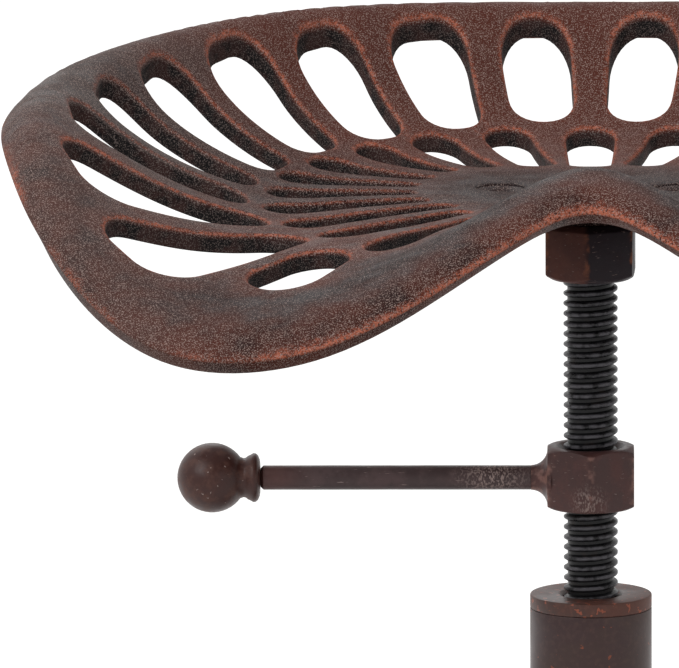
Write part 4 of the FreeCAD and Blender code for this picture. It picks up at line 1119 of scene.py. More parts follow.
@dataclass
class SeatSurface:
    """The dished upper surface of the casting, as a table of heights over angle and reach."""

    sections: Sequence[SeatSection]
    columns: int = 48
    angle_steps: int = 720
    reach_steps: int = 480
    line_samples: int = 600
    crest_row: int = 7
    slope_step: float = 0.8
    rims: np.ndarray = field(init=False)
    crests: np.ndarray = field(init=False)
    table: np.ndarray = field(init=False)

    def __post_init__(self) -> None:
        """Works out the table."""
        stations = np.array([section.angle for section in self.sections])
        rows = np.array([section.rows() for section in self.sections])
        net = np.array([self._between(stations, rows, abs(turn)) for turn in round_turns(self.columns)])
        place = (round_turns(self.angle_steps) + 180.0) / 360.0 * self.columns
        first = np.floor(place).astype(int)
        part = (place - first)[:, None, None]
        weights = (
            (1 - part) ** 3 / 6,
            (3 * part**3 - 6 * part**2 + 4) / 6,
            (-3 * part**3 + 3 * part**2 + 3 * part + 1) / 6,
            part**3 / 6,
        )
        smooth = sum(w * net[(first + shift) % self.columns] for w, shift in zip(weights, (-1, 0, 1, 2)))
        basis = self._basis(smooth.shape[1], self.line_samples)
        reach = smooth[:, :, 0] @ basis.T
        height = smooth[:, :, 1] @ basis.T
        self.rims = reach[:, -1]
        self.crests = smooth[:, self.crest_row, 0]
        shares = np.linspace(0.0, 1.0, self.reach_steps + 1)
        self.table = np.array([np.interp(shares * r[-1], r, h) for r, h in zip(reach, height)])

    @staticmethod
    def _between(stations: np.ndarray, rows: np.ndarray, angle: float) -> np.ndarray:
        """Control points at an angle, on a cubic that is level straight back and front.

        Args:
            stations: the sections' angles, in degrees.
            rows: the sections' control points.
            angle: the angle, in degrees.

        Returns:
            The control points at that angle.
        """
        last = len(stations) - 1
        index = min(int(np.searchsorted(stations, angle, side="right")) - 1, last - 1)

        def slope(at: int) -> np.ndarray:
            """Slope of the control points over the angle at a section.

            Args:
                at: the section's number.

            Returns:
                The slopes, per degree.
            """
            if at in (0, last):
                return np.zeros_like(rows[0])
            before = (rows[at] - rows[at - 1]) / (stations[at] - stations[at - 1])
            after = (rows[at + 1] - rows[at]) / (stations[at + 1] - stations[at])
            share = (stations[at + 1] - stations[at]) / (stations[at + 1] - stations[at - 1])
            return before * share + after * (1 - share)

        span = stations[index + 1] - stations[index]
        t = (angle - stations[index]) / span
        return (
            (2 * t**3 - 3 * t**2 + 1) * rows[index]
            + (t**3 - 2 * t**2 + t) * slope(index) * span
            + (3 * t**2 - 2 * t**3) * rows[index + 1]
            + (t**3 - t**2) * slope(index + 1) * span
        )

    @staticmethod
    def _basis(count: int, samples: int) -> np.ndarray:
        """Weights of a clamped cubic spline's control points along it.

        Args:
            count: how many control points there are.
            samples: how many places along the line to weigh them at.

        Returns:
            A row of weights for each place.
        """
        knots = np.concatenate([np.zeros(3), np.arange(count - 2), np.full(3, count - 3.0)])
        places = np.linspace(0.0, count - 3.0 - 1e-9, samples)
        weights = np.array([(places >= a) & (places < b) for a, b in zip(knots[:-1], knots[1:])], float)
        for degree in (1, 2, 3):
            raised = []
            for index in range(len(weights) - 1):
                left = knots[index + degree] - knots[index]
                right = knots[index + degree + 1] - knots[index + 1]
                value = np.zeros(samples)
                if left > 0:
                    value += (places - knots[index]) / left * weights[index]
                if right > 0:
                    value += (knots[index + degree + 1] - places) / right * weights[index + 1]
                raised.append(value)
            weights = np.array(raised)
        return weights.T

    def _angle_place(self, x: np.ndarray, y: np.ndarray) -> tuple[np.ndarray, np.ndarray, np.ndarray]:
        """Finds each point's direction in the table.

        Args:
            x: the points' places across, in millimetres.
            y: the points' places ahead, in millimetres.

        Returns:
            The table's rows before and after each direction, and the share between them.
        """
        turn = (np.degrees(np.arctan2(-x, y)) + 180.0) / 360.0 * self.angle_steps
        first = np.floor(turn).astype(int)
        return first % self.angle_steps, (first + 1) % self.angle_steps, turn - first

    def reaches(self, kept: np.ndarray, x: np.ndarray, y: np.ndarray) -> np.ndarray:
        """Reads a reach that is kept by direction, in each point's direction.

        Args:
            kept: rims for the rim's reach, or crests for the reach of its crest.
            x: the points' places across, in millimetres.
            y: the points' places ahead, in millimetres.

        Returns:
            The reaches, in millimetres.
        """
        before, after, part = self._angle_place(x, y)
        return kept[before] * (1 - part) + kept[after] * part

    def height(self, x: np.ndarray, y: np.ndarray) -> np.ndarray:
        """Height of the upper surface above the pan at each point.

        Args:
            x: the points' places across, in millimetres.
            y: the points' places ahead, in millimetres.

        Returns:
            The heights, in millimetres.
        """
        before, after, part = self._angle_place(x, y)
        share = np.clip(np.hypot(x, y) / self.reaches(self.rims, x, y), 0.0, 1.0) * self.reach_steps
        low = np.minimum(np.floor(share).astype(int), self.reach_steps - 1)
        rest = share - low
        first, second = (
            self.table[row, low] * (1 - rest) + self.table[row, low + 1] * rest for row in (before, after)
        )
        return first * (1 - part) + second * part

    def normal(self, x: np.ndarray, y: np.ndarray) -> np.ndarray:
        """Upward normal of the surface at each point, taken just inside the rim for points on it.

        Args:
            x: the points' places across, in millimetres.
            y: the points' places ahead, in millimetres.

        Returns:
            A row of three for each point.
        """
        reach = np.maximum(np.hypot(x, y), 1.0)
        inset = np.minimum(reach, self.reaches(self.rims, x, y) - 1.0) / reach
        px, py = x * inset, y * inset
        step = self.slope_step
        slope_x = (self.height(px + step, py) - self.height(px - step, py)) / (2 * step)
        slope_y = (self.height(px, py + step) - self.height(px, py - step)) / (2 * step)
        normal = np.stack([-slope_x, -slope_y, np.ones_like(slope_x)], axis=1)
        return normal / np.linalg.norm(normal, axis=1)[:, None]


@dataclass
class SeatCasting:
    """The dished, pierced seat with its rolled rim, its boss and its countersunk holes.

    The casting is pan_thickness thick inside the first of the thinning reaches and wall_thickness
    outside the second. Under its edges the round is drawn in to under_share of its size, and at the
    top of the rim to rim_share.
    """

    coats: Coats
    pan_thickness: float = 7.2
    wall_thickness: float = 7.1
    rim_thickness: float = 7.4
    thinning: tuple[float, float] = (80.0, 110.0)
    edge_round: float = 1.7
    under_share: float = 0.4
    rim_share: float = 0.6
    grid: float = 5.0
    rim_points: int = 330
    boss_radius: float = 13.0
    boss_depth: float = 11.1
    boss_taper: float = 1.5
    boss_fillet: float = 0.9
    hole_place: tuple[float, float] = (32.8, 11.0)
    hole_radius: float = 3.0
    recess_radius: float = 8.75
    recess_depth: float = 2.5
    recess_lap: float = 1.0
    bolt_hole: float = 5.25
    far_from_edges: float = 30.0
    surface: SeatSurface = field(init=False)
    slots: list[list[tuple[float, float]]] = field(init=False)
    pan_height: float = field(init=False)

    def __post_init__(self) -> None:
        """Sets out the surface and the slots on both sides."""
        self.surface = SeatSurface(SECTIONS)
        self.slots = [slot.outline(1) for slot in OUTER_SLOTS + INNER_SLOTS]
        self.slots += [slot.outline(-1) for slot in OUTER_SLOTS + INNER_SLOTS[1:]]
        self.pan_height = height_of("seat_washer")[0]

    @staticmethod
    def _circle(x: float, y: float, radius: float, count: int) -> list[tuple[float, float]]:
        """Points round a circle.

        Args:
            x: the centre's place across, in millimetres.
            y: the centre's place ahead, in millimetres.
            radius: the circle's radius, in millimetres.
            count: how many points.

        Returns:
            Points in millimetres.
        """
        turns = [FULL_TURN * step / count for step in range(count)]
        return [(x + radius * math.cos(turn), y + radius * math.sin(turn)) for turn in turns]

    def flat_blank(self) -> Piece:
        """Lays the pierced casting out flat, with rounded edges, as a filled curve made a mesh.

        Returns:
            The flat piece, in metres, with its upper side at height 0.
        """
        turns = np.radians(round_turns(self.rim_points))
        x, y = -np.sin(turns), np.cos(turns)
        reach = self.surface.reaches(self.surface.rims, x, y)
        loops = [list(zip(x * reach, y * reach))] + self.slots
        side, ahead = self.hole_place
        loops += [self._circle(sign * side, ahead, self.recess_radius, 32) for sign in (-1, 1)]
        loops.append(self._circle(0.0, 0.0, self.bolt_hole, 20))
        curve = bpy.data.curves.new("seat", "CURVE")
        curve.dimensions = "2D"
        curve.fill_mode = "BOTH"
        curve.bevel_depth = self.edge_round * MM
        curve.bevel_resolution = 2
        curve.extrude = (self.pan_thickness / 2 - self.edge_round) * MM
        curve.offset = -self.edge_round * MM
        for loop in loops:
            line = curve.splines.new("POLY")
            line.points.add(len(loop) - 1)
            line.points.foreach_set("co", [v for px, py in loop for v in (px * MM, py * MM, 0.0, 1.0)])
            line.use_cyclic_u = True
        flat = bpy.data.objects.new("seat_casting", curve)
        bpy.context.scene.collection.objects.link(flat)
        take(flat)
        bpy.ops.object.convert(target="MESH")
        flat = name_piece("seat_casting")
        edit(flat)
        merge_doubles(1e-6)
        bpy.ops.mesh.beautify_fill(angle_limit=math.pi)
        bpy.ops.transform.translate(value=(0.0, 0.0, -self.pan_thickness / 2 * MM))
        bpy.ops.object.mode_set(mode="OBJECT")
        return flat

    def divide(self, flat: Piece) -> None:
        """Cuts the flat casting on a square grid, so that it can take the dished form.

        Args:
            flat: the flat piece.
        """
        edit(flat)
        limit = float(self.surface.rims.max())
        for normal in (Vector((1.0, 0.0, 0.0)), Vector((0.0, 1.0, 0.0))):
            for place in np.arange(-limit, limit, self.grid):
                bpy.ops.mesh.select_all(action="SELECT")
                bpy.ops.mesh.bisect(plane_co=tuple(normal * (float(place) * MM)), plane_no=tuple(normal))
        bpy.ops.object.mode_set(mode="OBJECT")

    @staticmethod
    def _mark(piece: Piece, **marks: np.ndarray | float) -> None:
        """Keeps values on each point of a piece, for its finish.

        Args:
            piece: the piece.
            marks: the values by name, one for each point or one for all.
        """
        count = len(piece.data.vertices)
        for name, values in marks.items():
            layer = piece.data.attributes.new(name, "FLOAT", "POINT")
            layer.data.foreach_set("value", np.broadcast_to(values, count).astype(np.float32))

    @staticmethod
    def _spots(piece: Piece) -> np.ndarray:
        """Reads the places of a piece's points.

        Args:
            piece: the piece.

        Returns:
            A row of three for each point, in millimetres.
        """
        spots = np.empty(len(piece.data.vertices) * 3)
        piece.data.vertices.foreach_get("co", spots)
        return spots.reshape(-1, 3) / MM

    @staticmethod
    def _on_line(spots: np.ndarray, start: np.ndarray, end: np.ndarray) -> np.ndarray:
        """The place nearest to each spot on its own straight line between two points.

        Args:
            spots: the spots.
            start: where each spot's line starts.
            end: where each spot's line ends.

        Returns:
            The nearest places.
        """
        run = end - start
        part = np.clip(((spots - start) * run).sum(axis=1) / (run * run).sum(axis=1), 0.0, 1.0)
        return start + run * part[:, None]

    def finish_edges(self, flat: Piece) -> None:
        """Sharpens the rim and the under edges, and keeps each point's distances for the finish.

        Args:
            flat: the flat piece.
        """
        spots = self._spots(flat)
        loops = [np.array(loop) for loop in self.slots]
        corners, before, after = (
            np.concatenate([np.roll(loop, shift, axis=0) for loop in loops]) for shift in (0, 1, -1)
        )
        tree = kdtree.KDTree(len(corners))
        for index, (x, y) in enumerate(corners):
            tree.insert((x, y, 0.0), index)
        tree.balance()
        level = spots[:, :2].copy()
        nearest = np.array([tree.find((x, y, 0.0))[1] for x, y in level])
        feet = [self._on_line(level, corners[nearest], end[nearest]) for end in (before, after)]
        gaps = [np.linalg.norm(level - foot, axis=1) for foot in feet]
        slot_foot = np.where((gaps[0] < gaps[1])[:, None], feet[0], feet[1])
        x, y = level[:, 0], level[:, 1]
        rim = self.surface.reaches(self.surface.rims, x, y)
        rim_foot = level * (rim / np.maximum(np.hypot(x, y), 1.0))[:, None]
        below = spots[:, 2] < -self.pan_thickness / 2
        face = np.where(below, -self.pan_thickness, 0.0)
        away = []
        for foot, above_share in ((slot_foot, 1.0), (rim_foot, self.rim_share)):
            gap = np.linalg.norm(level - foot, axis=1)
            share = np.where(below, self.under_share, above_share)
            share = np.where(gap < self.edge_round * 1.01, share, 1.0)
            spots[:, :2] = foot + (spots[:, :2] - foot) * share[:, None]
            spots[:, 2] = face + (spots[:, 2] - face) * share
            away.append(gap * share)
        flat.data.vertices.foreach_set("co", (spots * MM).ravel())
        self._mark(flat, slot_mm=away[0], rim_mm=away[1], depth=-spots[:, 2] / self.pan_thickness)

    def dish(self, flat: Piece) -> None:
        """Moves the flat casting's points onto the dished form.

        Args:
            flat: the flat piece.
        """
        spots = self._spots(flat)
        x, y = spots[:, 0], spots[:, 1]
        share = -spots[:, 2] / self.pan_thickness
        reach = np.hypot(x, y)
        normal = self.surface.normal(x, y)
        crest, rim = (self.surface.reaches(kept, x, y) for kept in (self.surface.crests, self.surface.rims))
        blend = np.clip((reach - crest) / np.maximum(rim - crest - 2.0, 1.0), 0.0, 1.0)
        thick = np.interp(reach, self.thinning, [self.pan_thickness, self.wall_thickness])
        thick += blend * (self.rim_thickness - self.wall_thickness)
        blend = (blend * blend * (3 - 2 * blend))[:, None]
        straight = np.zeros_like(spots)
        straight[:, 2] = thick / normal[:, 2]
        rolled = normal * thick[:, None]
        down = straight * (1 - blend) + rolled * blend
        top = np.stack([x, y, self.surface.height(x, y)], axis=1)
        placed = top - down * share[:, None]
        placed[:, 2] += self.pan_height
        flat.data.vertices.foreach_set("co", (placed * MM).ravel())
        flat.data.update()

    def countersinks(self) -> list[Piece]:
        """The two conical recesses with their holes, and the boss under the pan.

        Returns:
            The three turned pieces.
        """
        side, ahead = self.hole_place
        bottom = -self.pan_thickness
        recess, hole, lap = self.recess_radius, self.hole_radius, self.recess_radius + self.recess_lap
        sink = [
            (lap, -1.2),
            (recess - 0.4, -0.75),
            (hole + 0.5, -self.recess_depth),
            (hole, -self.recess_depth - 0.5),
            (hole, bottom + 0.3),
            (hole + 0.4, bottom),
            (lap, bottom + 0.2),
            (lap, -1.2),
        ]
        root = self.boss_radius + self.boss_taper
        boss = [
            (self.bolt_hole, bottom + 1.0),
            (self.bolt_hole, -self.boss_depth),
            (self.boss_radius - 0.6, -self.boss_depth),
            (self.boss_radius, -self.boss_depth + 0.6),
            (root, bottom - self.boss_fillet),
            (root + self.boss_fillet, bottom - 0.1),
            (root + self.boss_fillet, bottom + 1.0),
            (self.bolt_hole, bottom + 1.0),
        ]
        height = self.pan_height * MM
        made = [
            turn_outline(name, outline, steps, centre=(x * MM, y * MM, height))
            for name, outline, steps, x, y in (
                ("countersink", sink, 40, -side, ahead),
                ("countersink", sink, 40, side, ahead),
                ("boss", boss, 72, 0.0, 0.0),
            )
        ]
        for piece in made:
            self._mark(piece, slot_mm=self.far_from_edges, rim_mm=self.far_from_edges, depth=0.0)
        return made

    def build(self) -> None:
        """Builds and dresses the seat."""
        seat = self.flat_blank()
        self.divide(seat)
        self.finish_edges(seat)
        self.dish(seat)
        close_mesh(seat)
        seat = settle(join([seat] + self.countersinks()), 50.0)
        dress(seat, self.coats[Coat.CASTING], Body.SEAT, "cast_bronze_finish", "seat")


# Screw and what it carries


@dataclass
class LiftingScrew:
    """The screw with its rolled thread, the hexagon under the seat and the hidden fixings.

    The thread's tooth is given by how far up the pitch its flanks start and end and its crest is
    rounded off; the spigot is the plain foot that carries the bush.
    """

    coats: Coats
    radius: float = 10.0
    root: float = 8.55
    pitch: float = 3.8
    flank_start: float = 0.55
    flank_end: float = 1.25
    crest_start: float = 1.55
    shoulder_radius: float = 9.75
    spigot: float = 7.0
    spigot_length: float = 18.6
    spigot_chamfer: float = 0.6
    hex_across: float = 32.0
    hex_clearance: float = 0.1
    hex_bottom_circle: float = 29.0
    hex_bottom_bevel: float = 2.4
    hex_top_bevel: float = 1.9
    hex_top_bevel_in: float = 3.0
    hex_turn: float = -4.0

    def thread(self) -> Piece:
        """The screw's thread, from its foot to the hexagon, on its core.

        Returns:
            The piece.
        """
        foot, top = height_of("lift_screw")
        shoulder = foot + self.spigot_length
        rising = [
            (0.0, self.root),
            (self.flank_start, self.root),
            (self.flank_end, self.shoulder_radius),
            (self.crest_start, self.radius),
        ]
        tooth = rising + [(self.pitch - rise, reach) for rise, reach in reversed(rising)]
        start = shoulder - self.pitch
        screw = draw_chain(
            "lifting_screw", [Vector((reach, 0.0, start + rise)) * MM for rise, reach in tooth]
        )
        take(screw)
        fix_place()
        winding = screw.modifiers.new("winding", "SCREW")
        winding.angle = FULL_TURN
        winding.screw_offset = self.pitch * MM
        winding.iterations = math.ceil((top - shoulder) / self.pitch) + 2
        winding.steps = winding.render_steps = 40
        winding.use_normal_calculate = True
        bpy.ops.object.modifier_apply(modifier=winding.name)
        edit(screw)
        merge_doubles()
        for height, facing in ((shoulder, -1.0), (top, 1.0)):
            bpy.ops.mesh.select_all(action="SELECT")
            bpy.ops.mesh.bisect(
                plane_co=(0.0, 0.0, height * MM), plane_no=(0.0, 0.0, facing), use_fill=True, clear_outer=True
            )
        close_mesh(screw)
        chamfer = self.spigot_chamfer
        spigot = [
            (0.0, foot),
            (self.spigot - chamfer, foot),
            (self.spigot, foot + chamfer),
            (self.spigot, shoulder + 1.0),
            (0.0, shoulder + 1.0),
        ]
        return settle(join([screw, turn_outline("spigot", spigot, 48)]), 32.0)

    def hexagon(self) -> Piece:
        """The bevelled hexagon that carries the seat.

        Returns:
            The piece.
        """
        low, high = height_of("seat_hex")
        corner = self.hex_across / 2 / FLAT_PER_CORNER
        bore = self.radius + self.hex_clearance
        outline = [
            (bore, low),
            (self.hex_bottom_circle / 2, low),
            (corner, low + self.hex_bottom_bevel),
            (corner, high),
            (bore, high),
            (bore, low),
        ]
        piece = turn_outline("seat_hexagon", outline, 96)
        cut_flats(piece, self.hex_across, self.hex_turn)
        tilt = math.atan2(self.hex_top_bevel_in, self.hex_top_bevel)
        cut_flats(piece, self.hex_across, self.hex_turn, high - self.hex_top_bevel, tilt)
        soften(piece, 0.45, 2, 20.0)
        return settle(piece, 30.0)

    def build(self) -> None:
        """Builds and dresses the screw and the hexagon, and finishes the hidden pieces."""
        dress(self.thread(), self.coats[Coat.SCREW], Body.SEAT, "oiled_screw", "lift_screw")
        dress(self.hexagon(), self.coats[Coat.HEXAGON], Body.SEAT, "worn_brown_steel", "seat_hex")
        coat_nodes(self.coats[Coat.FIXINGS], "seat_bolt", "seat_washer", "guide_bolt", "guide_washer")
        coat_nodes(self.coats[Coat.NYLON], "guide_bush")


@dataclass
class LockingNut:
    """The locking nut with its flared lug, the lever bar and the ball knob."""

    coats: Coats
    across: float = 32.0
    face_circle: float = 30.5
    bevel: float = 1.6
    countersink: float = 25.0
    bore: float = 10.1
    recess: float = 14.3
    recess_depth: float = 2.6
    lug_root: float = 10.5
    lug_end: float = 4.6
    lug_reach: float = 22.0
    lug_sunk: float = 1.5
    lug_steps: int = 8
    lever_rise: float = 11.0
    lever_radius: float = 4.5
    lever_swell: float = 0.04
    lever_reach: float = 122.0
    tenon_radius: float = 3.0
    tenon_length: float = 10.0
    knob_radius: float = 12.9
    knob_reach: float = 139.8
    knob_neck: float = 7.25
    knob_collar: float = 9.1
    knob_steps: int = 20
    knob_bore: float = 3.2

    def turn_on_lever(self, name: str, outline: Outline, steps: int) -> Piece:
        """Turns an outline about the lever's axis.

        Args:
            name: the piece's name.
            outline: points of (radius, place along X), in millimetres.
            steps: segments round the piece.

        Returns:
            The closed piece.
        """
        low, _ = height_of("lock_nut")
        return turn_outline(name, outline, steps, Axis.LEVEL, (0.0, 0.0, (low + self.lever_rise) * MM))

    def nut(self) -> Piece:
        """The hexagonal nut, countersunk at the top, with the lug on its left.

        Returns:
            The piece.
        """
        low, high = height_of("lock_nut")
        corner = self.across / 2 / FLAT_PER_CORNER
        face = self.face_circle / 2
        sink = self.countersink / 2
        outline = [
            (self.recess, low),
            (face, low),
            (corner, low + self.bevel),
            (corner, high - self.bevel),
            (face, high),
            (sink, high),
            (self.bore, high - sink + self.bore),
            (self.bore, low + self.recess_depth),
            (self.recess, low + self.recess_depth),
            (self.recess, low),
        ]
        body = turn_outline("locking_nut", outline, 96)
        cut_flats(body, self.across)
        soften(body, 0.35, 2, 20.0)
        run = self.lug_reach - self.across / 2
        fall = self.lug_root - self.lug_end
        radius = (run**2 + fall**2) / (2 * fall)
        inside = -self.across / 2 + self.lug_sunk
        flare = [(0.0, inside), (self.lug_root, inside)]
        sweep = math.atan2(run, radius - fall)
        for step in range(self.lug_steps + 1):
            turn = sweep * (1 - step / self.lug_steps)
            along = -self.lug_reach + radius * math.sin(turn)
            flare.append((self.lug_end + radius - radius * math.cos(turn), along))
        flare += [(self.lug_end - 0.5, -self.lug_reach - 0.02), (0.0, -self.lug_reach - 0.02)]
        return settle(join([body, self.turn_on_lever("lug", flare, 56)]), 30.0)

    def lever(self) -> Piece:
        """The round lever bar, with a chamfered end at the knob.

        Returns:
            The piece.
        """
        bar, swollen = self.lever_radius, self.lever_radius + self.lever_swell
        start, end = -self.lug_reach, -self.lever_reach
        outline = [
            (0.0, start + 0.3),
            (bar - 0.4, start + 0.3),
            (bar, start - 0.2),
            (swollen, start - 30.0),
            (bar, (start + end) / 2),
            (swollen, end + 28.0),
            (bar, end + 1.2),
            (bar - 1.0, end + 0.15),
            (self.tenon_radius, end),
            (self.tenon_radius, end - self.tenon_length),
            (0.0, end - self.tenon_length),
        ]
        return settle(self.turn_on_lever("locking_lever", outline, 56), 35.0)

    def knob(self) -> Piece:
        """The ball knob, its waisted neck and its flared, rounded collar.

        Returns:
            The piece.
        """
        end, neck, collar = -self.lever_reach, self.knob_neck, self.knob_collar
        join_at = math.sqrt(self.knob_radius**2 - (neck + 0.4) ** 2)
        first = math.atan2(neck + 0.4, join_at)
        outline = [(0.0, -self.knob_reach - self.knob_radius)]
        for step in range(1, self.knob_steps + 1):
            turn = math.pi - (math.pi - first) * step / self.knob_steps
            along = -self.knob_reach + self.knob_radius * math.cos(turn)
            outline.append((self.knob_radius * math.sin(turn), along))
        outline += [
            (neck, end - 6.2),
            (neck + 0.15, end - 5.4),
            (neck + 0.8, end - 4.6),
            (collar - 0.5, end - 3.4),
            (collar, end - 2.6),
            (collar - 0.15, end - 1.6),
            (collar - 0.9, end - 0.8),
            (collar - 2.4, end - 0.2),
            (collar - 3.6, end - 0.05),
            (self.knob_bore, end - 0.1),
            (self.knob_bore, end - 13.5),
            (0.0, end - 14.0),
        ]
        return settle(self.turn_on_lever("ball_knob_piece", outline, 64), 60.0)

    def build(self) -> None:
        """Builds and dresses the nut, the lever and the knob."""
        dress(self.nut(), self.coats[Coat.NUT], Body.LOCK, "worn_brown_steel", "lock_nut")
        dress(self.lever(), self.coats[Coat.LEVER], Body.LOCK, "worn_brown_steel", "lock_lever")
        dress(self.knob(), self.coats[Coat.KNOB], Body.LOCK, "brown_knob", "ball_knob")
        coat_nodes(self.coats[Coat.NYLON], "lock_ring")


# Column, legs and foot ring


@dataclass
class Column:
    """The column tube with its cap, nut and foot plug."""

    coats: Coats
    radius: float = 22.5
    bore: float = 19.5
    screw_hole: float = 10.3
    countersink: float = 11.8

    def tube(self) -> Piece:
        """The column's tube, with softened ends.

        Returns:
            The piece.
        """
        low, high = height_of("column_tube")
        outline = [
            (self.bore, low),
            (self.radius, low),
            (self.radius, high - 60.0),
            (self.radius, high - 6.0),
            (self.radius, high),
            (self.bore, high),
            (self.bore, low),
        ]
        piece = turn_outline("column_pipe", outline, 96)
        soften(piece, 0.35)
        return settle(piece, 35.0)

    def cap(self) -> Piece:
        """The cap on the tube's top, with its countersunk hole for the screw.

        Returns:
            The piece.
        """
        low, high = height_of("column_cap")
        outline = [
            (self.screw_hole, low),
            (self.radius, low),
            (self.radius, high),
            (self.countersink, high),
            (self.screw_hole, high - self.countersink + self.screw_hole),
            (self.screw_hole, low),
        ]
        piece = turn_outline("column_lid", outline, 96)
        soften(piece, 0.5, 3)
        return settle(piece, 35.0)

    def build(self) -> None:
        """Builds and dresses the column."""
        dress(self.tube(), self.coats[Coat.ENAMEL], Body.FRAME, "brown_enamel", "column_tube")
        dress(self.cap(), self.coats[Coat.CAP], Body.FRAME, "brown_enamel", "column_cap")
        coat_nodes(self.coats[Coat.FIXINGS], "column_nut")
        coat_nodes(self.coats[Coat.PLASTIC], "column_plug")


@dataclass
class LegFrame:
    """The hub, four bent legs with rubber feet, and the foot ring with its fixings."""

    coats: Coats
    turns: dict[str, float] = field(
        default_factory=lambda: {
            "front_right": -45.0,
            "back_right": 45.0,
            "back_left": 135.0,
            "front_left": -135.0,
        }
    )
    sleeve: float = 33.0
    sleeve_bore: float = 22.6
    hub_round: float = 3.0
    hub_round_middle: float = 0.3
    socket_boss: float = 18.0
    socket_chamfer: float = 1.2
    socket_reach: float = 66.0
    socket_depth: float = 36.0
    leg_radius: float = 12.5
    leg_clearance: float = 0.1
    upper_bend: float = 80.0
    upper_steps: int = 14
    lower_bend: float = 60.0
    lower_steps: int = 10
    straight_top: float = 90.0
    straight_bottom: float = 26.0
    foot_reach: float = 276.0
    foot_floor: float = 6.0
    foot_radius: float = 17.0
    foot_height: float = 26.0
    foot_taper: float = 1.5
    grooves: tuple[float, ...] = (7.0, 11.5, 16.0)
    groove_depth: float = 0.7
    ring_tube: float = 9.5
    ring_steps: int = 180

    @property
    def socket_height(self) -> float:
        """Height of the sockets' axes, in millimetres."""
        low, high = height_of("leg_hub")
        return (low + high) / 2

    def hub(self) -> Piece:
        """The cast collar with its four sockets united to it.

        Returns:
            The piece.
        """
        low, high = height_of("leg_hub")
        ease, part = self.hub_round, self.hub_round * self.hub_round_middle
        collar = turn_outline(
            "leg_collar",
            [
                (self.sleeve_bore, low),
                (self.sleeve - ease, low),
                (self.sleeve - part, low + part),
                (self.sleeve, low + ease),
                (self.sleeve, high - ease),
                (self.sleeve - part, high - part),
                (self.sleeve - ease, high),
                (self.sleeve_bore, high),
                (self.sleeve_bore, low),
            ],
        )
        inside = self.sleeve_bore + 3.0
        bore = self.leg_radius + self.leg_clearance
        socket = turn_outline(
            "socket",
            [
                (0.0, inside),
                (self.socket_boss, inside),
                (self.socket_boss, self.socket_reach - self.socket_chamfer),
                (self.socket_boss - self.socket_chamfer, self.socket_reach),
                (bore + 0.8, self.socket_reach),
                (bore, self.socket_reach - 0.8),
                (bore, self.socket_reach - self.socket_depth),
                (0.0, self.socket_reach - self.socket_depth),
            ],
            56,
            Axis.LEVEL,
            (0.0, 0.0, self.socket_height * MM),
        )
        bosses = [turned_copy(socket, "socket_" + name, turn) for name, turn in self.turns.items()]
        bpy.data.objects.remove(socket)
        for boss in bosses:
            take(collar)
            union = collar.modifiers.new("union", "BOOLEAN")
            union.operation = "UNION"
            union.solver = "EXACT"
            union.object = boss
            bpy.ops.object.modifier_apply(modifier=union.name)
            bpy.data.objects.remove(boss)
        close_mesh(collar)
        return settle(collar, 35.0)

    def slope(self) -> tuple[float, float]:
        """Finds the straight between the leg's bends, by halving the angles that it can have.

        Returns:
            Its slope, in radians, and its length, in millimetres.
        """
        knee = self.foot_floor + self.straight_bottom
        low, high = 0.2, 1.5
        for _ in range(60):
            turn = (low + high) / 2
            level = self.foot_reach - self.straight_top
            level -= self.upper_bend * math.sin(turn) + self.lower_bend * (1 - math.sin(turn))
            run = level / math.cos(turn)
            drop = self.upper_bend * (1 - math.cos(turn)) + run * math.sin(turn)
            drop += self.lower_bend * math.cos(turn)
            if drop < self.socket_height - knee:
                low = turn
            else:
                high = turn
        return turn, run

    def leg(self) -> Piece:
        """One bent tube leg along +X: two straights, two bends and an upright foot.

        Returns:
            The piece.
        """
        turn, run = self.slope()
        height = self.socket_height
        knee = self.foot_floor + self.straight_bottom
        start = self.socket_reach - self.socket_depth + 0.3
        place = (start * MM, 0.0, height * MM)
        piece = draw_tube_end("leg", self.leg_radius, place, (0.0, math.pi / 2, 0.0))
        upper = (self.straight_top, height - self.upper_bend)
        lower = (self.foot_reach - self.lower_bend, knee)
        extrude(((self.straight_top - start) * MM, 0.0, 0.0))
        self.bend(self.upper_steps, -turn, *upper)
        extrude((run * math.cos(turn) * MM, 0.0, -run * math.sin(turn) * MM))
        self.bend(self.lower_steps, turn - math.pi / 2, *lower)
        extrude((0.0, 0.0, -self.straight_bottom * MM))
        bpy.ops.mesh.select_all(action="SELECT")
        merge_doubles()
        bpy.ops.mesh.select_all(action="DESELECT")
        bpy.ops.mesh.select_non_manifold(
            extend=False, use_wire=False, use_multi_face=False, use_non_contiguous=False, use_verts=False
        )
        bpy.ops.mesh.edge_face_add()
        close_mesh(piece)
        return settle(piece, 40.0)

    @staticmethod
    def bend(steps: int, turn: float, reach: float, height: float) -> None:
        """Spins the open end of a tube about a level axis across it.

        Args:
            steps: segments along the bend.
            turn: the bend's angle, in radians.
            reach: the axis's place along X, in millimetres.
            height: the axis's height, in millimetres.
        """
        centre = (reach * MM, 0.0, height * MM)
        bpy.ops.mesh.spin(steps=steps, angle=turn, center=centre, axis=(0.0, 1.0, 0.0))

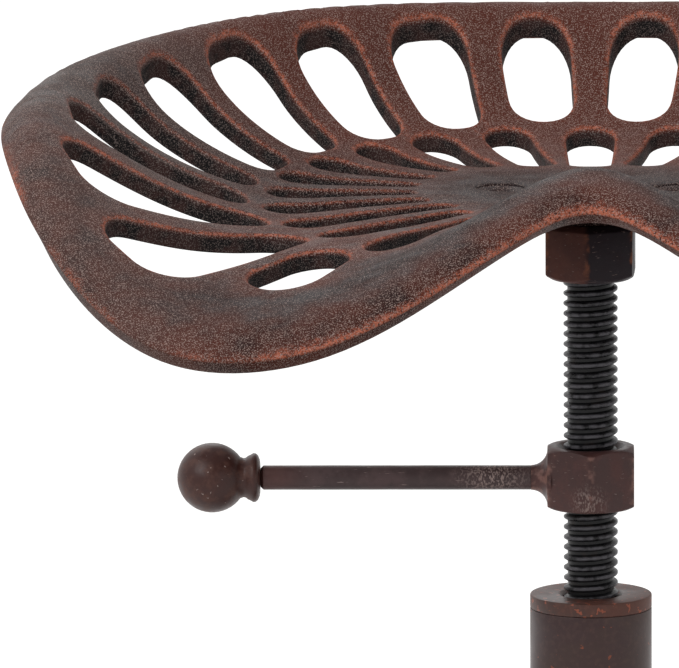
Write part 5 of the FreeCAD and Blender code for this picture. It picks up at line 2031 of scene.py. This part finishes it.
    def foot(self) -> Piece:
        """One rubber foot with its grip grooves, under the leg along +X.

        Returns:
            The piece.
        """
        outer = self.foot_radius
        bore = self.leg_radius + self.leg_clearance
        outline = [(0.0, 0.8), (outer - 5.0, 0.8), (outer - 4.4, 0.0), (outer - 1.6, 0.0), (outer, 1.8)]
        for rise in self.grooves:
            edge = outer - self.foot_taper * rise / self.foot_height
            inner = edge - self.groove_depth
            outline += [(edge, rise - 0.9), (inner, rise - 0.4), (inner, rise + 0.4), (edge, rise + 0.9)]
        outline += [
            (outer - self.foot_taper, self.foot_height - 1.0),
            (outer - self.foot_taper - 0.9, self.foot_height),
            (bore, self.foot_height),
            (bore, self.foot_floor),
            (0.0, self.foot_floor),
        ]
        piece = turn_outline("foot", outline, 56, centre=(self.foot_reach * MM, 0.0, 0.0))
        soften(piece, 0.3)
        return settle(piece, 35.0)

    def ring(self) -> Piece:
        """The foot ring, spun from one section of its tube.

        Returns:
            The piece.
        """
        low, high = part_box("foot_ring")
        height = (low[2] + high[2]) / 2
        place = (high[0] - self.ring_tube * MM, 0.0, height)
        piece = draw_tube_end("foot_ring_tube", self.ring_tube, place, (math.pi / 2, 0.0, 0.0))
        bpy.ops.mesh.spin(
            steps=self.ring_steps, angle=FULL_TURN, center=(0.0, 0.0, height), axis=(0.0, 0.0, 1.0)
        )
        close_mesh(piece)
        return settle(piece, 60.0)

    def build(self) -> None:
        """Builds and dresses the leg frame."""
        dress(self.hub(), self.coats[Coat.ENAMEL], Body.FRAME, "brown_enamel", "leg_hub")
        kinds = (
            (self.leg(), "bent_leg_", Coat.ENAMEL, "brown_enamel", "leg_"),
            (self.foot(), "rubber_foot_", Coat.RUBBER, "black_rubber", "foot_"),
        )
        for place, turn in self.turns.items():
            for piece, name, coat, slot, node in kinds:
                copy = turned_copy(piece, name + place, turn)
                dress(copy, self.coats[coat], Body.FRAME, slot, node + place)
        for piece, *_ in kinds:
            bpy.data.objects.remove(piece)
        dress(self.ring(), self.coats[Coat.ENAMEL], Body.FRAME, "brown_enamel", "foot_ring")
        coat_nodes(self.coats[Coat.FIXINGS], "ring_bolts", "ring_nuts", "leg_bolts", "leg_washers")
        coat_nodes(self.coats[Coat.PLASTIC], "ring_spacers", "ring_saddles")


# Studio and camera


@dataclass
class Studio:
    """A pale floor, soft lamps and a white surround."""

    floor_size: float = 60.0
    floor_glow: float = 0.85
    floor_paint: str = "#bfbebc"
    white: str = "#ffffff"
    surround: float = 0.45
    lit_point: Point = (0.0, 0.0, 0.6)

    @staticmethod
    def seen(tree: Tree) -> Node:
        """Adds the part of a tree that tells rays that see a surface from rays that only light by it.

        Args:
            tree: the node tree.

        Returns:
            The last node: 1 for rays from the camera and for those mirrored or let through.
        """
        path = add(tree, "LightPath").outputs
        direct = add(
            tree, "Math", {0: path["Is Camera Ray"], 1: path["Is Glossy Ray"]}, operation="MAXIMUM"
        )
        return add(tree, "Math", {0: direct, 1: path["Is Transmission Ray"]}, operation="MAXIMUM")

    def floor(self) -> None:
        """Lays the floor, in a matt pale paint that glows to what sees it, so that no horizon shows."""
        clear_bench()
        bpy.ops.mesh.primitive_plane_add(size=self.floor_size, location=(0.0, 0.0, 0.0))
        ground = name_piece("studio_floor")
        edit(ground)
        bpy.ops.mesh.subdivide(number_cuts=4)
        bpy.ops.object.mode_set(mode="OBJECT")
        material = bpy.data.materials.new("pale_floor_paint")
        tree = bare_tree(material)
        glow = add(tree, "Math", {0: self.seen(tree), 1: self.floor_glow}, operation="MULTIPLY")
        matt = add(tree, "BsdfDiffuse", {"Color": paint(self.floor_paint)})
        light = add(tree, "Emission", {"Color": paint(self.white), "Strength": glow})
        add(tree, "OutputMaterial", {"Surface": add(tree, "AddShader", {0: matt, 1: light})})
        ground.data.materials.append(material)

    def world(self) -> None:
        """Sets the white surround, weaker for the light that it casts."""
        scene = bpy.context.scene
        scene.world = scene.world or bpy.data.worlds.new("studio")
        tree = bare_tree(scene.world)
        limits = {"Value": self.seen(tree), "To Min": self.surround, "To Max": 1.0}
        strength = add(tree, "MapRange", limits)
        back = add(tree, "Background", {"Color": paint(self.white), "Strength": strength})
        add(tree, "OutputWorld", {"Surface": back})

    def lamp(self, name: str, place: Point, size: float, power: float) -> None:
        """Hangs one square soft lamp that faces the lit point.

        Args:
            name: the lamp's name.
            place: where it hangs, in metres.
            size: its side, in metres.
            power: its power, in watts.
        """
        light = bpy.data.lights.new(name, "AREA")
        light.shape = "SQUARE"
        light.size = size
        light.energy = power
        hung = bpy.data.objects.new(name, light)
        bpy.context.scene.collection.objects.link(hung)
        hung.location = place
        hung.rotation_euler = (Vector(self.lit_point) - Vector(place)).to_track_quat("-Z", "Y").to_euler()

    def build(self) -> None:
        """Builds the studio."""
        self.floor()
        self.world()
        self.lamp("key_lamp", (-1.5, -1.6, 2.3), 1.6, 34.0)
        self.lamp("fill_lamp", (1.8, -1.8, 1.6), 1.8, 6.0)
        self.lamp("back_lamp", (-0.6, 2.2, 2.2), 1.6, 9.0)
        bpy.context.scene.view_settings.view_transform = "Standard"


@dataclass
class PhotographView:
    """The camera at the photograph's viewing angle, in metres, degrees and pixels."""

    place: Point = (0.0, -3.8, 1.25365)
    turn_left: float = 1.3942
    look_down: float = 9.5779
    roll: float = -0.3
    focal_pixels: float = 10462.5
    frame_width: float = 679.0
    clip_end: float = 200.0

    def build(self) -> None:
        """Places the camera and makes it the scene's own."""
        turn, down, lean = (math.radians(angle) for angle in (self.turn_left, self.look_down, self.roll))
        ahead = Vector((-math.sin(turn) * math.cos(down), math.cos(turn) * math.cos(down), -math.sin(down)))
        right = Vector((math.cos(turn), math.sin(turn), 0.0))
        up = right.cross(ahead)
        leaned_right = right * math.cos(lean) + up * math.sin(lean)
        leaned_up = up * math.cos(lean) - right * math.sin(lean)
        lens = bpy.data.cameras.new("photograph_view")
        lens.sensor_fit = "HORIZONTAL"
        lens.angle = 2 * math.atan(self.frame_width / 2 / self.focal_pixels)
        lens.clip_end = self.clip_end
        camera = bpy.data.objects.new("photograph_view", lens)
        bpy.context.scene.collection.objects.link(camera)
        rows = Matrix((leaned_right, leaned_up, -ahead)).transposed()
        camera.matrix_world = Matrix.Translation(self.place) @ rows.to_4x4()
        bpy.context.scene.camera = camera


def main() -> None:
    """Builds the dressed stool, the studio and the camera."""
    logging.basicConfig(level=logging.INFO, format="%(name)s: %(message)s")
    coats = mix_coats()
    makers: list[Callable[[], None]] = [
        PhotographView().build,
        SeatCasting(coats).build,
        LiftingScrew(coats).build,
        LockingNut(coats).build,
        Column(coats).build,
        LegFrame(coats).build,
        Studio().build,
    ]
    for build in makers:
        build()
    clear_bench()


if __name__ == "__main__":
    main()
